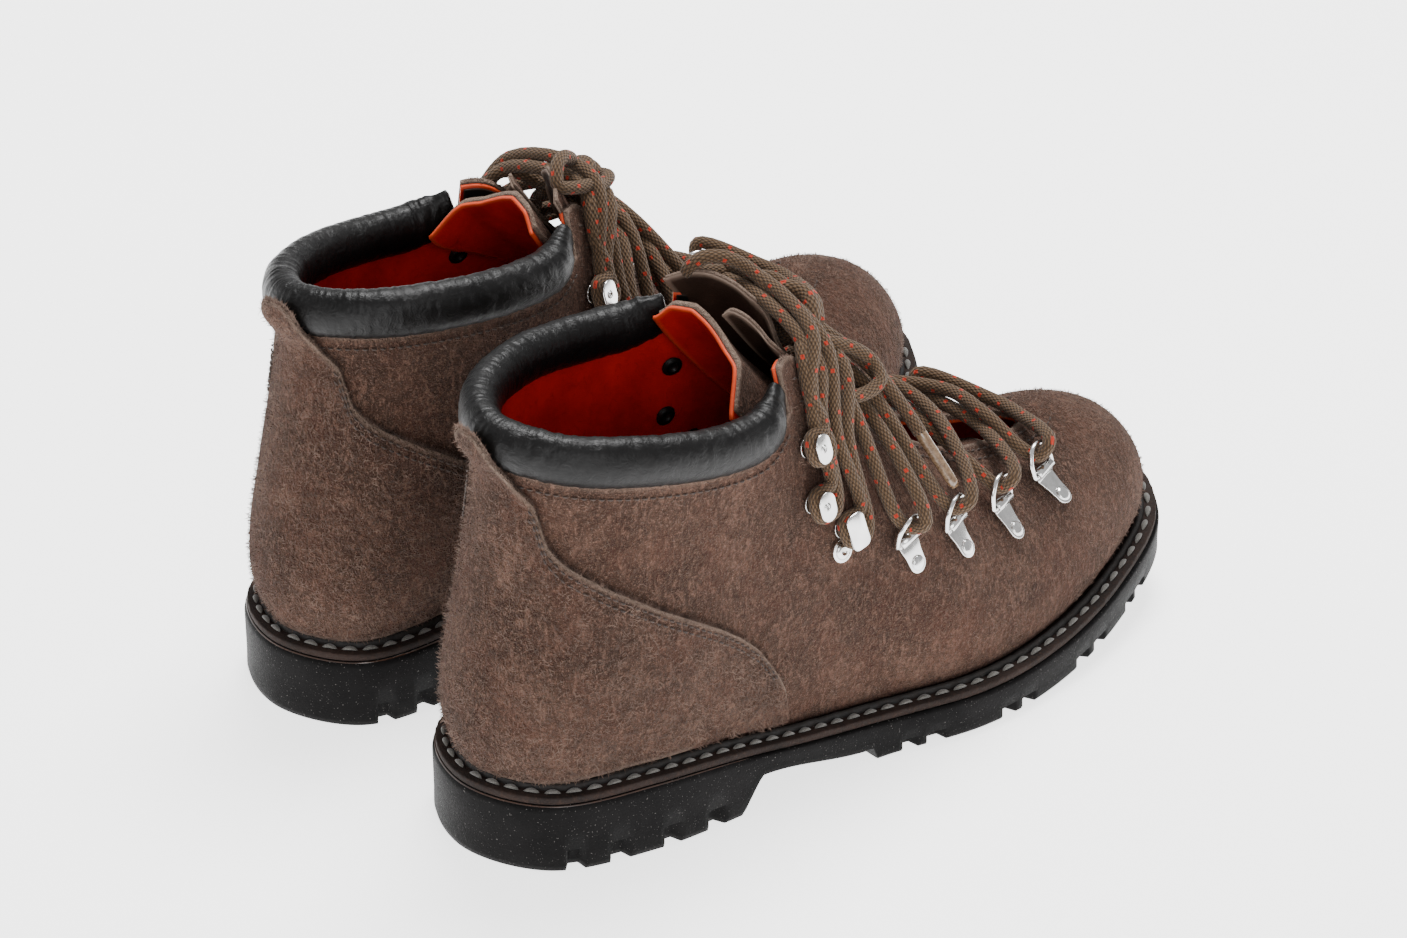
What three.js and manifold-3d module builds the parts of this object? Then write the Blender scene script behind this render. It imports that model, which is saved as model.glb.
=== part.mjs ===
// A pair of laced suede hiking boots. Millimetres, +Z up, toes towards +Y,
// right boot on the +X side. Each boot is drawn as a right boot, outer side towards +X,
// with the back of its heel at Y = 0; the left boot is the same boot mirrored.
import * as THREE from 'three';
import { mergeVertices } from 'three/addons/utils/BufferGeometryUtils.js';
import Module from 'manifold-3d';

const wasm = await Module();
wasm.setup();

// ---------------------------------------------------------------- driving dimensions
const gap = 0.3;                 // clearance between pieces that touch
const shortestEdge = 0.05;       // finer detail than this is simplified away after a cut
const boot = { spacing: 108, stagger: 5, toeOut: 4.3 };
const sole = {
  heelHeight: 25.5, foreHeight: 13.4, heelEnd: 45, foreStart: 155,
  springStart: 190, springEnd: 302, spring: 20,
  breastBottom: 83, breastTop: 91, waistRise: 12.5, treadStart: 139, lugDepth: 4.5, lugWidth: 17,
};
// Places are measured from the back of the heel along Y.
const tread = {
  gaps: [171, 212, 253, 284], gapWidth: 13, notches: [152, 192, 231, 270], notchWidth: 4.6,
  heelNotches: [20, 35, 54, 71],
};
const midsole = { thickness: 3, inset: 0.8 };
const welt = { thickness: 2.5, inset: 1.2, width: 13, beadInset: 6.6, beadRadius: 1.3 };
const insole = { thickness: 2.5, inset: 15.5 };
const feather = { inset: 9.5, rise: 3.2 };
const leather = { upper: 2, tapeTop: 2.9, tape: 0.6, liningTop: 4.2, lining: 1.2 };
const collar = { height: 19.4, halfHeight: 8.6, halfWidth: 6.8, inward: 2.5, frontEnd: 3.72 / 18 };
const counter = { clearance: 1.1, foot: 0.06, thickness: 1.7, tabLift: 6, tabFrom: 0.86, tabTo: 0.95 };
const lace = { radius: 2.4, sides: 8, wrap: 5.5, crossLow: 6.4, crossHigh: 11.4 };
const ring = { wire: 0.9, halfWidth: 6.1, reach: 10.2, tilt: 35, hinge: 3 };
const clip = { halfWidth: 4.9, plateHalf: 3.7, plateLength: 14, sheet: 1, standOff: 1, rivet: 2.9 };
const hook = { rise: 7.8, sheet: 1.1, neck: 1.4, length: 7.6, halfHeight: 5.6, post: 1.6, lobe: 4.2 };

// Cross-sections from the heel to the toe. Each row holds the half-width on the outer side and on
// the inner side, the distance from the back of the heel, then the height on each side.
const soleEdge = [
  [0, 0, 0], [30, 30, 13], [43, 38.5, 48], [46.5, 35, 95], [49, 37, 141],
  [57, 46, 181], [55, 52, 217], [45, 47, 256], [27.5, 25, 290], [0, 0, 302],
];
const lowGirth = [
  [0, 0, -9, 50, 50], [33, 32, 7, 52, 52], [44, 42, 47, 57, 57], [44, 40, 93, 56, 56],
  [47, 41, 140, 50, 50], [56, 47, 180, 41, 41], [55, 51, 216, 38, 38], [46, 46, 257, 40, 40],
  [28, 26, 291, 46, 46], [0, 0, 301, 50, 50],
];
const highGirth = [
  [0, 0, 24, 100, 100], [17, 17, 32, 104, 104], [31, 31, 55, 106, 110], [36, 35, 98, 102, 108],
  [39, 37, 126, 101, 107], [41, 38, 163, 87, 90], [39, 38, 211, 75, 77], [34, 33, 250, 72, 73],
  [20, 18, 280, 76, 76], [0, 0, 284, 79, 79],
];
const rim = [
  [0, 0, 13, 157, 157], [23, 22, 25, 154, 158], [38, 37, 56, 149, 157], [39, 38, 97, 144, 154],
  [23, 23, 120, 151, 158], [17, 16, 153, 116, 119], [12, 12, 202, 82, 84], [8, 8, 234, 75, 75],
  [4, 4, 243, 74, 74], [0, 0, 244, 74, 74],
];
const stations = 2 * (rim.length - 1);

// Fittings on the outer side: place along the ribs, counted in stations from the heel, and up the rib.
const ringPlaces = [
  { station: 6.56, up: 0.735 }, { station: 5.87, up: 0.671 }, { station: 5.28, up: 0.622 },
  { station: 4.68, up: 0.569 },
];
const hookPlaces = [
  { station: 4.08, up: 0.593 }, { station: 3.78, up: 0.672 }, { station: 3.9, up: 0.8 },
];

// The edge of the heel counter: stations from the heel, then the share of the rib it reaches.
const counterEdge = [
  [0, 0.998], [0.14, 0.99], [0.25, 0.955], [0.33, 0.91], [0.45, 0.87], [0.69, 0.841], [0.86, 0.739],
  [1.3, 0.665], [1.9, 0.565], [2.5, 0.447], [2.95, 0.325], [3.19, 0.2], [3.25, 0.1],
];

// ---------------------------------------------------------------- small helpers
const vec = (x, y, z) => new THREE.Vector3(x, y, z);
const mix = (a, b, t) => a + (b - a) * t;
const smooth = (t) => t * t * (3 - 2 * t);
const clamp = THREE.MathUtils.clamp;
const radians = THREE.MathUtils.degToRad;

function toSolid(geometry) {
  const bare = geometry.index ? geometry.toNonIndexed() : geometry.clone();
  bare.deleteAttribute('normal');
  bare.deleteAttribute('uv');
  const merged = mergeVertices(bare, 1e-4);
  return new wasm.Manifold(new wasm.Mesh({
    numProp: 3,
    vertProperties: new Float32Array(merged.attributes.position.array),
    triVerts: new Uint32Array(merged.index.array),
  }));
}

// Detail finer than the shortest edge is simplified away, so that no hair-thin faces are left by a cut.
function toGeometry(solid) {
  const mesh = solid.simplify(shortestEdge).getMesh();
  const geometry = new THREE.BufferGeometry();
  geometry.setAttribute('position', new THREE.BufferAttribute(new Float32Array(mesh.vertProperties), 3));
  geometry.setIndex(new THREE.BufferAttribute(new Uint32Array(mesh.triVerts), 1));
  return geometry;
}

const joined = (solids) => solids.reduce((all, one) => all.add(one));

// The largest of the bodies that a cut leaves; the slivers are dropped.
function largest(solid) {
  const bodies = solid.decompose();
  return bodies.reduce((best, one) => (one.volume() > best.volume() ? one : best));
}

function finish(name, geometry, look) {
  const material = new THREE.MeshStandardMaterial(look);
  const mesh = new THREE.Mesh(geometry, material);
  mesh.name = name;
  return mesh;
}

// A closed solid between two grids of points that share their edges.
// It wraps when the columns close on themselves.
function sheetGeometry(columns, rows, wraps, outerPoint, innerPoint) {
  const positions = [];
  const index = [];
  const perSide = columns * rows;
  for (const side of [outerPoint, innerPoint]) {
    for (let i = 0; i < columns; i += 1) {
      for (let j = 0; j < rows; j += 1) positions.push(...side(i, j).toArray());
    }
  }
  const at = (i, j, inner) => (i % columns) * rows + j + (inner ? perSide : 0);
  const quad = (a, b, c, d) => index.push(a, b, c, a, c, d);
  const spans = wraps ? columns : columns - 1;
  for (let i = 0; i < spans; i += 1) {
    for (let j = 0; j < rows - 1; j += 1) {
      quad(at(i, j), at(i + 1, j), at(i + 1, j + 1), at(i, j + 1));
      quad(at(i, j, 1), at(i, j + 1, 1), at(i + 1, j + 1, 1), at(i + 1, j, 1));
    }
    quad(at(i, 0), at(i, 0, 1), at(i + 1, 0, 1), at(i + 1, 0));
    quad(at(i, rows - 1), at(i + 1, rows - 1), at(i + 1, rows - 1, 1), at(i, rows - 1, 1));
  }
  if (!wraps) {
    for (let j = 0; j < rows - 1; j += 1) {
      quad(at(0, j), at(0, j + 1), at(0, j + 1, 1), at(0, j, 1));
      quad(at(spans, j), at(spans, j, 1), at(spans, j + 1, 1), at(spans, j + 1));
    }
  }
  const geometry = new THREE.BufferGeometry();
  geometry.setAttribute('position', new THREE.Float32BufferAttribute(positions, 3));
  geometry.setIndex(index);
  return geometry;
}

// ---------------------------------------------------------------- the last: outline, heights and skin
function loopOf(rows, point) {
  const outer = rows.map((row) => point(row[0], row[2], row[3] ?? 0));
  const inner = rows.slice(1, -1).reverse().map((row) => point(-row[1], row[2], row[4] ?? 0));
  return new THREE.CatmullRomCurve3([...outer, ...inner], true);
}
const edgeLoop = loopOf(soleEdge, vec);
const lowLoop = loopOf(lowGirth, vec);
const highLoop = loopOf(highGirth, vec);
const rimLoop = loopOf(rim, vec);
const turn = (u) => u - Math.floor(u);

function edgePoint(u, inset) {
  const step = 1e-3;
  const along = edgeLoop.getPoint(turn(u + step)).sub(edgeLoop.getPoint(turn(u - step))).normalize();
  const point = edgeLoop.getPoint(turn(u));
  return point.add(vec(-along.y, along.x, 0).multiplyScalar(inset));
}

const spring = (y) => {
  const past = Math.max(0, y - sole.springStart) / (sole.springEnd - sole.springStart);
  return sole.spring * past * past;
};
const wallTop = (y) => {
  const down = smooth(clamp((y - sole.heelEnd) / (sole.foreStart - sole.heelEnd), 0, 1));
  return mix(sole.heelHeight, sole.foreHeight, down) + spring(y);
};

function skinPoint(u, v) {
  const foot = edgePoint(u, feather.inset);
  foot.z = wallTop(foot.y) + feather.rise;
  const w = 1 - v;
  return foot.multiplyScalar(w * w * w)
    .addScaledVector(lowLoop.getPoint(turn(u)), 3 * w * w * v)
    .addScaledVector(highLoop.getPoint(turn(u)), 3 * w * v * v)
    .addScaledVector(rimLoop.getPoint(turn(u)), v * v * v);
}

function skinFrame(u, v) {
  const step = 1e-3;
  const along = skinPoint(u + step, v).sub(skinPoint(u - step, v)).normalize();
  const up = skinPoint(u, v + step).sub(skinPoint(u, v - step)).normalize();
  const out = along.clone().cross(up).normalize();
  return { point: skinPoint(u, v), along: up.clone().cross(out), up, out };
}

function skinOffset(u, v, distance) {
  const frame = skinFrame(u, clamp(v, 0.002, 0.998));
  return skinPoint(u, v).addScaledVector(frame.out, distance);
}

// The share of the rib at which the skin is a given height below the rim.
function belowRim(u, drop) {
  let low = 0.5;
  let high = 1;
  const goal = skinPoint(u, 1).z - drop;
  for (let pass = 0; pass < 24; pass += 1) {
    const middle = (low + high) / 2;
    if (skinPoint(u, middle).z < goal) low = middle;
    else high = middle;
  }
  return low;
}

// ---------------------------------------------------------------- sole
const soleSides = 40;
const profileSteps = 11;

function planSolid(inset, low, high) {
  const outline = new THREE.Shape();
  for (let i = 0; i < soleSides; i += 1) {
    const p = edgePoint(i / soleSides, inset);
    if (i === 0) outline.moveTo(p.x, p.y);
    else outline.lineTo(p.x, p.y);
  }
  outline.closePath();
  const prism = new THREE.ExtrudeGeometry(outline, { depth: high - low, bevelEnabled: false });
  return toSolid(prism.translate(0, 0, low));
}

// A slab seen from the side, running right across the boot: (y, z) points extruded along X.
function profileSolid(points, halfWidth = 80) {
  const outline = new THREE.Shape(points.map(([y, z]) => new THREE.Vector2(y, z)));
  const prism = new THREE.ExtrudeGeometry(outline, { depth: 2 * halfWidth, bevelEnabled: false });
  const across = new THREE.Matrix4().makeBasis(vec(0, 1, 0), vec(0, 0, 1), vec(1, 0, 0));
  return toSolid(prism.applyMatrix4(across).translate(-halfWidth, 0, 0));
}

function bandSolid(lower, upper, from = -12, to = 315) {
  const points = [];
  for (let i = 0; i <= profileSteps; i += 1) {
    const y = mix(from, to, i / profileSteps);
    points.push([y, lower(y)]);
  }
  for (let i = profileSteps; i >= 0; i -= 1) {
    const y = mix(from, to, i / profileSteps);
    points.push([y, upper(y)]);
  }
  return profileSolid(points);
}

function layerSolid(inset, lower, upper) {
  return planSolid(inset, -5, 60).intersect(bandSolid(lower, upper));
}

// A box that crosses the edge of the sole square to it, at one place on the outline.
function edgeCutter(u, width, depth, low, high) {
  const middle = edgePoint(u, depth / 2 - 1);
  const inward = edgePoint(u, 1).sub(edgePoint(u, 0));
  const box = new THREE.BoxGeometry(depth + 2, width, high - low);
  box.rotateZ(Math.atan2(inward.y, inward.x)).translate(middle.x, middle.y, (low + high) / 2);
  return toSolid(box);
}

// The place on the outline at a given distance from the heel; side is 1 for outer, -1 for inner.
function outlineAt(y, side) {
  let low = 0;
  let high = 0.5;
  for (let pass = 0; pass < 24; pass += 1) {
    const middle = (low + high) / 2;
    if (edgePoint(side * middle, 0).y < y) low = middle;
    else high = middle;
  }
  return side * low;
}

function outsoleGeometry() {
  const top = (y) => wallTop(y) - midsole.thickness;
  const lugTop = (y) => spring(y) + sole.lugDepth;
  const body = layerSolid(0, (y) => spring(y) - 0.001, top);
  const arch = profileSolid([
    [sole.breastBottom, -3], [sole.breastTop, sole.waistRise],
    [sole.treadStart, sole.lugDepth], [sole.treadStart, -3],
  ]);
  const bothSides = (places) => places.flatMap((y) => [outlineAt(y, 1), outlineAt(y, -1)]);
  const cutters = bothSides(tread.gaps).map((u) => edgeCutter(u, tread.gapWidth, 22, -3, 40))
    .concat(bothSides(tread.notches).map((u) => edgeCutter(u, tread.notchWidth, 7, -3, 40)));
  const blocks = [];
  for (const y of [158, 184, 210, 236]) {
    const block = new THREE.CylinderGeometry(9.5, 9.5, 60, 6).rotateX(Math.PI / 2);
    blocks.push(toSolid(block.translate(3, y, 0)));
  }
  const trough = planSolid(sole.lugWidth, -3, 40).subtract(joined(blocks));
  const foreCut = joined([trough, ...cutters])
    .intersect(bandSolid(() => -5, lugTop, sole.treadStart + 3, 315));
  const heelNotches = [0, ...bothSides(tread.heelNotches)]
    .map((u) => edgeCutter(u, tread.notchWidth, 5, -3, 3));
  const troughStrip = profileSolid([[18, -5], [76, -5], [76, 5], [18, 5]], sole.lugWidth);
  const heelTrough = planSolid(15, -3, 2.5).intersect(troughStrip);
  return toGeometry(body.subtract(joined([arch, foreCut, heelTrough, ...heelNotches])));
}

function midsoleGeometry() {
  return toGeometry(layerSolid(midsole.inset, (y) => wallTop(y) - midsole.thickness + gap, wallTop));
}

function weltGeometry() {
  const flat = layerSolid(welt.inset, (y) => wallTop(y) + gap, (y) => wallTop(y) + gap + welt.thickness);
  const strap = flat.subtract(planSolid(welt.inset + welt.width, -10, 80));
  const bead = sheetGeometry(soleSides, 3, true, (i, j) => {
    const p = edgePoint(i / soleSides, welt.beadInset + (1 - j) * welt.beadRadius);
    return p.setZ(wallTop(p.y) + welt.thickness - 0.6 + (j === 1 ? 2.6 : 1.6) * welt.beadRadius);
  }, (i, j) => {
    const p = edgePoint(i / soleSides, welt.beadInset + (1 - j) * welt.beadRadius);
    return p.setZ(wallTop(p.y) + welt.thickness - 0.6);
  });
  return toGeometry(strap.add(toSolid(flipped(bead))));
}

function flipped(geometry) {
  const index = geometry.index.array;
  for (let i = 0; i < index.length; i += 3) [index[i], index[i + 1]] = [index[i + 1], index[i]];
  return geometry;
}

function insoleGeometry() {
  const under = (y) => wallTop(y) + feather.rise;
  return toGeometry(layerSolid(insole.inset, under, (y) => under(y) + insole.thickness));
}

// ---------------------------------------------------------------- upper
// Ribs stand close together round the heel, the throat corner and the toe, wider along the sides.
const ribRows = 7;
const halfStations = [0.5, 1, 1.5, 2, 2.8, 3.69, 3.75, 4.2, 4.8, 5.6, 6.4, 7.2, 7.8, 8.4];
const halfColumns = halfStations.map((station) => station / stations);
const ribColumns = [0, ...halfColumns, 0.5, ...halfColumns.map((u) => 1 - u).reverse()];
const underCollar = (u) => Math.abs(u - Math.round(u)) < collar.frontEnd;

function shellOfSkin(top, from, to, bottom = 0) {
  const share = (i, j) => mix(bottom, top(ribColumns[i]), j / (ribRows - 1));
  return sheetGeometry(
    ribColumns.length, ribRows, true,
    (i, j) => skinOffset(ribColumns[i], share(i, j), -from),
    (i, j) => skinOffset(ribColumns[i], share(i, j), -to),
  );
}

// A tape between the upper and the lining ties the hooks of one side into a row, so that
// each hook's post goes through its own hole in the upper.
const hookFrames = (side) => hookPlaces.map(({ station, up }) => fittingFrame(station, up, side));

function fittingFrame(station, up, side) {
  const frame = skinFrame(side * station / stations, up);
  const rearward = frame.along.clone().multiplyScalar(-side);
  return { ...frame, rearward };
}

function postSolid(frame, radius, from, to) {
  const post = new THREE.CylinderGeometry(radius, radius, to - from, 6).rotateX(Math.PI / 2);
  post.translate(0, 0, (from + to) / 2);
  return toSolid(post.applyMatrix4(frameMatrix(frame)));
}

function frameMatrix(frame) {
  const across = frame.up.clone().cross(frame.out);
  return new THREE.Matrix4().makeBasis(across, frame.up, frame.out).setPosition(frame.point);
}

function upperGeometry() {
  const top = (u) => (underCollar(u) ? belowRim(u, collar.height) : 1);
  const skin = toSolid(shellOfSkin(top, 0, leather.upper));
  const holes = [1, -1].flatMap((side) => hookFrames(side)
    .map((frame) => postSolid(frame, hook.post + 0.5, -leather.upper - 1, 1.5)));
  return toGeometry(skin.subtract(joined(holes)));
}

function liningGeometry() {
  const top = (u) => (underCollar(u) ? belowRim(u, collar.height + 2.5) : 0.985);
  return shellOfSkin(top, leather.liningTop, leather.liningTop + leather.lining, 0.03);
}

// The counter wraps the heel; its top is a pull tab that stands clear of the collar roll.
function counterGeometry() {
  const edge = [...counterEdge.slice(1).reverse().map(([station, top]) => [-station, top]), ...counterEdge];
  const rows = 7;
  const place = (i, j, depth) => {
    const [station, top] = edge[i];
    const v = mix(counter.foot, top, j / (rows - 1));
    const turned = clamp((v - counter.tabFrom) / (counter.tabTo - counter.tabFrom), 0, 1);
    const lift = counter.tabLift * smooth(turned);
    return skinOffset(station / stations, v, counter.clearance + lift + depth);
  };
  return sheetGeometry(
    edge.length, rows, false, (i, j) => place(i, j, counter.thickness), (i, j) => place(i, j, 0),
  );
}

function collarGeometry() {
  const steps = 24;
  const sides = 9;
  const end = collar.frontEnd - 0.007;
  const centre = (u) => {
    const v = belowRim(u, collar.halfHeight);
    return { ...skinFrame(u, v), point: skinOffset(u, v, -collar.inward) };
  };
  class CollarPath extends THREE.Curve {
    getPoint(t) { return centre(mix(-end, end, t)).point; }

    getPointAt(t) { return this.getPoint(t); }
  }
  const path = new CollarPath();
  const grid = (i, j) => {
    const u = mix(-end, end, i / steps);
    const { point, out } = centre(u);
    const along = path.getTangent(clamp(i / steps, 0.001, 0.999));
    const level = vec(out.x, out.y, 0).projectOnPlane(along).normalize();
    const upright = level.clone().cross(along).normalize();
    const angle = 2 * Math.PI * j / sides;
    return point.addScaledVector(level, collar.halfWidth * Math.cos(angle))
      .addScaledVector(upright, -collar.halfHeight * Math.sin(angle));
  };
  return tubeFromGrid(steps + 1, sides, grid);
}

// A tube given ring by ring, with a flat cap on each end.
function tubeFromGrid(count, sides, grid) {
  const positions = [];
  const index = [];
  for (let i = 0; i < count; i += 1) {
    for (let j = 0; j < sides; j += 1) positions.push(...grid(i, j).toArray());
  }
  const at = (i, j) => i * sides + (j % sides);
  for (let i = 0; i < count - 1; i += 1) {
    for (let j = 0; j < sides; j += 1) {
      index.push(at(i, j), at(i, j + 1), at(i + 1, j + 1), at(i, j), at(i + 1, j + 1), at(i + 1, j));
    }
  }
  for (let j = 1; j < sides - 1; j += 1) {
    index.push(at(0, 0), at(0, j + 1), at(0, j));
    index.push(at(count - 1, 0), at(count - 1, j), at(count - 1, j + 1));
  }
  const geometry = new THREE.BufferGeometry();
  geometry.setAttribute('position', new THREE.Float32BufferAttribute(positions, 3));
  geometry.setIndex(index);
  return geometry;
}

// ---------------------------------------------------------------- tongue
// The middle line of the tongue's front face, from the throat to its free end.
const tongueLine = new THREE.CatmullRomCurve3([
  vec(0, 234, 66), vec(0, 205, 73), vec(0, 172, 94), vec(0, 142, 120), vec(0, 121, 144), vec(0, 109, 162),
]);
const tongueShape = { halfWidth: [11, 18, 21, 22, 21.5, 22], bow: [2, 6, 7, 7, 6, 6], thickness: 3.5 };
const flapShape = {
  spread: 0.66, start: 0.34, from: 0.72, thickness: 1.7, clearance: 0.5, stand: 6, lift: 5, split: 7,
};

function tonguePoint(across, along, depth) {
  const last = tongueShape.halfWidth.length - 1;
  const place = clamp(along * last, 0, last - 1e-6);
  const row = Math.floor(place);
  const pick = (list) => mix(list[row], list[row + 1], place - row);
  const way = tongueLine.getTangent(clamp(along, 0.001, 0.999));
  const front = vec(1, 0, 0).cross(way).normalize().negate();
  return tongueLine.getPoint(along)
    .add(vec(across * pick(tongueShape.halfWidth), 0, 0))
    .addScaledVector(front, -depth - pick(tongueShape.bow) * across * across);
}

function tongueGeometry() {
  const columns = 9;
  const rows = 9;
  const place = (i, j) => [2 * i / (columns - 1) - 1, j / (rows - 1)];
  return sheetGeometry(
    columns, rows, false,
    (i, j) => tonguePoint(...place(columns - 1 - i, j), 0),
    (i, j) => tonguePoint(...place(columns - 1 - i, j), tongueShape.thickness),
  );
}

// Two flaps in front of the tongue; they are one hide below, split at the top, and stand off there.
function flapsGeometry() {
  const columns = 13;
  const rows = 7;
  const place = (i, j, depth) => {
    const across = flapShape.spread * (1 - 2 * i / (columns - 1));
    const share = j / (rows - 1);
    const off = smooth(clamp((share - flapShape.from) / (1 - flapShape.from), 0, 1));
    const dip = flapShape.split * Math.cos(Math.PI * across / flapShape.spread) ** 2;
    const along = mix(flapShape.start, 1, share);
    const point = tonguePoint(across, along, -flapShape.clearance - depth - flapShape.stand * off);
    return point.setZ(point.z + (flapShape.lift - dip) * off);
  };
  return sheetGeometry(
    columns, rows, false, (i, j) => place(i, j, flapShape.thickness), (i, j) => place(i, j, 0),
  );
}

// ---------------------------------------------------------------- rings, clips and hooks
// A route sampled at its own points, so that tight turns get as many steps as they were given.
class Route extends THREE.CatmullRomCurve3 {
  getPointAt(t) { return this.getPoint(t); }

  getTangentAt(t) { return this.getTangent(t); }
}

function tubeGeometry(points, radius, sides, stepsPerPoint = 1) {
  const section = new THREE.Shape();
  for (let i = 0; i < sides; i += 1) {
    const angle = 2 * Math.PI * i / sides;
    if (i === 0) section.moveTo(radius, 0);
    else section.lineTo(radius * Math.cos(angle), radius * Math.sin(angle));
  }
  section.closePath();
  const steps = (points.length - 1) * stepsPerPoint;
  return new THREE.ExtrudeGeometry(section, { steps, bevelEnabled: false, extrudePath: new Route(points) });
}

// The ring is a bent wire whose two ends meet inside the fold of the clip. Local X is the hinge.
function ringGeometry(wire) {
  const w = ring.halfWidth;
  const r = ring.reach;
  const half = [[0.35, 0], [w - 1.2, 0], [w, 1.2], [w, r * 0.45], [w * 0.62, r * 0.86], [0, r]];
  const back = half.slice(0, -1).reverse().map(([x, y]) => [-x, y]);
  const points = [...half, ...back].map(([x, y]) => vec(x, y, 0));
  return tubeGeometry(points, wire, 5);
}

// The clip is a strip folded round the hinge bar of the ring and riveted through the upper.
function clipGeometry() {
  const fold = new THREE.Shape();
  fold.absarc(0, 0, ring.wire + 0.35 + clip.sheet, 0, 2 * Math.PI);
  const bore = new THREE.Path();
  bore.absarc(0, 0, ring.wire + 0.35, 0, 2 * Math.PI);
  fold.holes.push(bore);
  const options = { depth: 2 * clip.halfWidth, bevelEnabled: false, curveSegments: 3 };
  const tube = new THREE.ExtrudeGeometry(fold, options);
  tube.translate(0, 0, -clip.halfWidth).rotateY(Math.PI / 2);
  const under = clip.standOff - ring.hinge;
  const plate = new THREE.Shape();
  plate.moveTo(-clip.plateHalf, -1.6);
  plate.lineTo(-clip.plateHalf, clip.plateHalf - clip.plateLength);
  plate.absarc(0, clip.plateHalf - clip.plateLength, clip.plateHalf, Math.PI, 2 * Math.PI);
  plate.lineTo(clip.plateHalf, -1.6);
  plate.closePath();
  const flat = new THREE.ExtrudeGeometry(plate, { depth: 1.3, bevelEnabled: false, curveSegments: 3 });
  const rivet = new THREE.CylinderGeometry(clip.rivet * 0.7, clip.rivet, 1.2, 6).rotateX(Math.PI / 2);
  rivet.translate(0, clip.plateHalf - clip.plateLength, under + 1.2 + 0.5);
  return toGeometry(joined([toSolid(tube), toSolid(flat.translate(0, 0, under)), toSolid(rivet)]));
}

// A hook is a foot plate, a narrow neck on the throat side and a face plate that reaches rearwards.
function hookSolid(frame, lobes, grow = 0) {
  const toward = frame.rearward.dot(frame.up.clone().cross(frame.out)) > 0 ? 1 : -1;
  const low = clip.standOff;
  const parts = [];
  const slab = (x, y, z, w, h, d) => {
    const box = new THREE.BoxGeometry(w + 2 * grow, h + 2 * grow, d + 2 * grow);
    parts.push(toSolid(box.translate(x, y, z)));
  };
  const reach = toward * (hook.length / 2 - hook.neck);
  slab(reach, 0, low + hook.sheet / 2, hook.length, 2 * hook.neck + 4, hook.sheet);
  slab(0, 0, low + hook.rise / 2, 2 * hook.neck, 2 * hook.neck, hook.rise);
  slab(reach, 0, low + hook.rise - hook.sheet / 2, hook.length, 2 * hook.halfHeight, hook.sheet);
  if (lobes) {
    for (const side of [-1, 1]) {
      const disc = new THREE.CylinderGeometry(hook.lobe + grow, hook.lobe + grow, hook.sheet + 2 * grow, 8)
        .rotateX(Math.PI / 2);
      parts.push(toSolid(disc.translate(side * 4, -6.5, low + hook.sheet / 2 + 0.5)));
    }
  }
  return joined(parts.map((part) => part.transform(frameMatrix(frame).elements)))
    .add(postSolid(frame, hook.post, -leather.tapeTop - leather.tape + 0.2, low + 0.3));
}

function hooksGeometry(side) {
  const line = new THREE.CatmullRomCurve3([
    ...hookPlaces.map(({ station, up }) => vec(station, up, 0)),
    vec(hookPlaces[2].station, hookPlaces[2].up + 0.03, 0),
  ]);
  const rows = 7;
  const half = 0.16;
  const point = (i, j, depth) => {
    const middle = line.getPoint(j / (rows - 1));
    const station = middle.x + half * (side > 0 ? i - 1 : 1 - i);
    return skinOffset(side * station / stations, middle.y, -leather.tapeTop - depth);
  };
  const tape = sheetGeometry(3, rows, false, (i, j) => point(i, j, 0), (i, j) => point(i, j, leather.tape));
  const hooks = hookFrames(side).map((frame, k) => hookSolid(frame, k === 0));
  return toGeometry(joined([toSolid(tape), ...hooks]));
}

// ---------------------------------------------------------------- laces
const sideName = (side) => (side > 0 ? 'outer' : 'inner');
const innerShift = -0.12;         // stations the inner fittings stand further back
const ringFrame = (level, side) => {
  const { station, up } = ringPlaces[level];
  return fittingFrame(station + (side < 0 ? innerShift : 0), up, side);
};

// The seat of a ring on the skin: local X is its hinge, and it leans out by its tilt.
const clipSeat = (level, side) => frameMatrix(ringFrame(level, side))
  .multiply(new THREE.Matrix4().makeTranslation(0, 0, ring.hinge));
const ringSeat = (level, side) => clipSeat(level, side)
  .multiply(new THREE.Matrix4().makeRotationX(radians(ring.tilt)));

const local = (frame, across, up, out) => frame.point.clone()
  .addScaledVector(frame.rearward, across)
  .addScaledVector(frame.up, up)
  .addScaledVector(frame.out, out);

// Down over the arc of a ring, through its opening and back out under the arc.
function throughRing(level, side) {
  const frame = ringFrame(level, side);
  const tilt = radians(ring.tilt);
  const arc = [Math.cos(tilt) * ring.reach, ring.hinge + Math.sin(tilt) * ring.reach];
  const at = (angle, across) => local(
    frame, across,
    arc[0] + lace.wrap * Math.cos(angle + tilt), arc[1] + lace.wrap * Math.sin(angle + tilt),
  );
  const quarter = Math.PI / 2;
  return [at(quarter, -1.2), at(quarter * 2, 0), at(quarter * 3, 1.2)];
}

// Under the face of a hook and round the rear of its neck.
function roundHook(level, side) {
  const frame = hookFrames(side)[level];
  const out = clip.standOff + hook.rise / 2;
  const r = lace.radius + hook.neck + 1;
  return [[-4, -r], [r * 0.75, -r * 0.85], [r * 0.75, r * 0.85], [-4, r]]
    .map(([across, up]) => local(frame, across, up, out));
}

// Where a strand lies on the edge of the throat, at a height above it.
function overEdge(station, side, height) {
  const edge = skinPoint(side * station / stations, 1);
  const slope = clamp((edge.y - 120) / 80, 0, 1);
  const lift = vec(0, mix(0.75, 0.3, slope), mix(0.66, 0.95, slope)).normalize();
  return edge.addScaledVector(lift, height);
}

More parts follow.
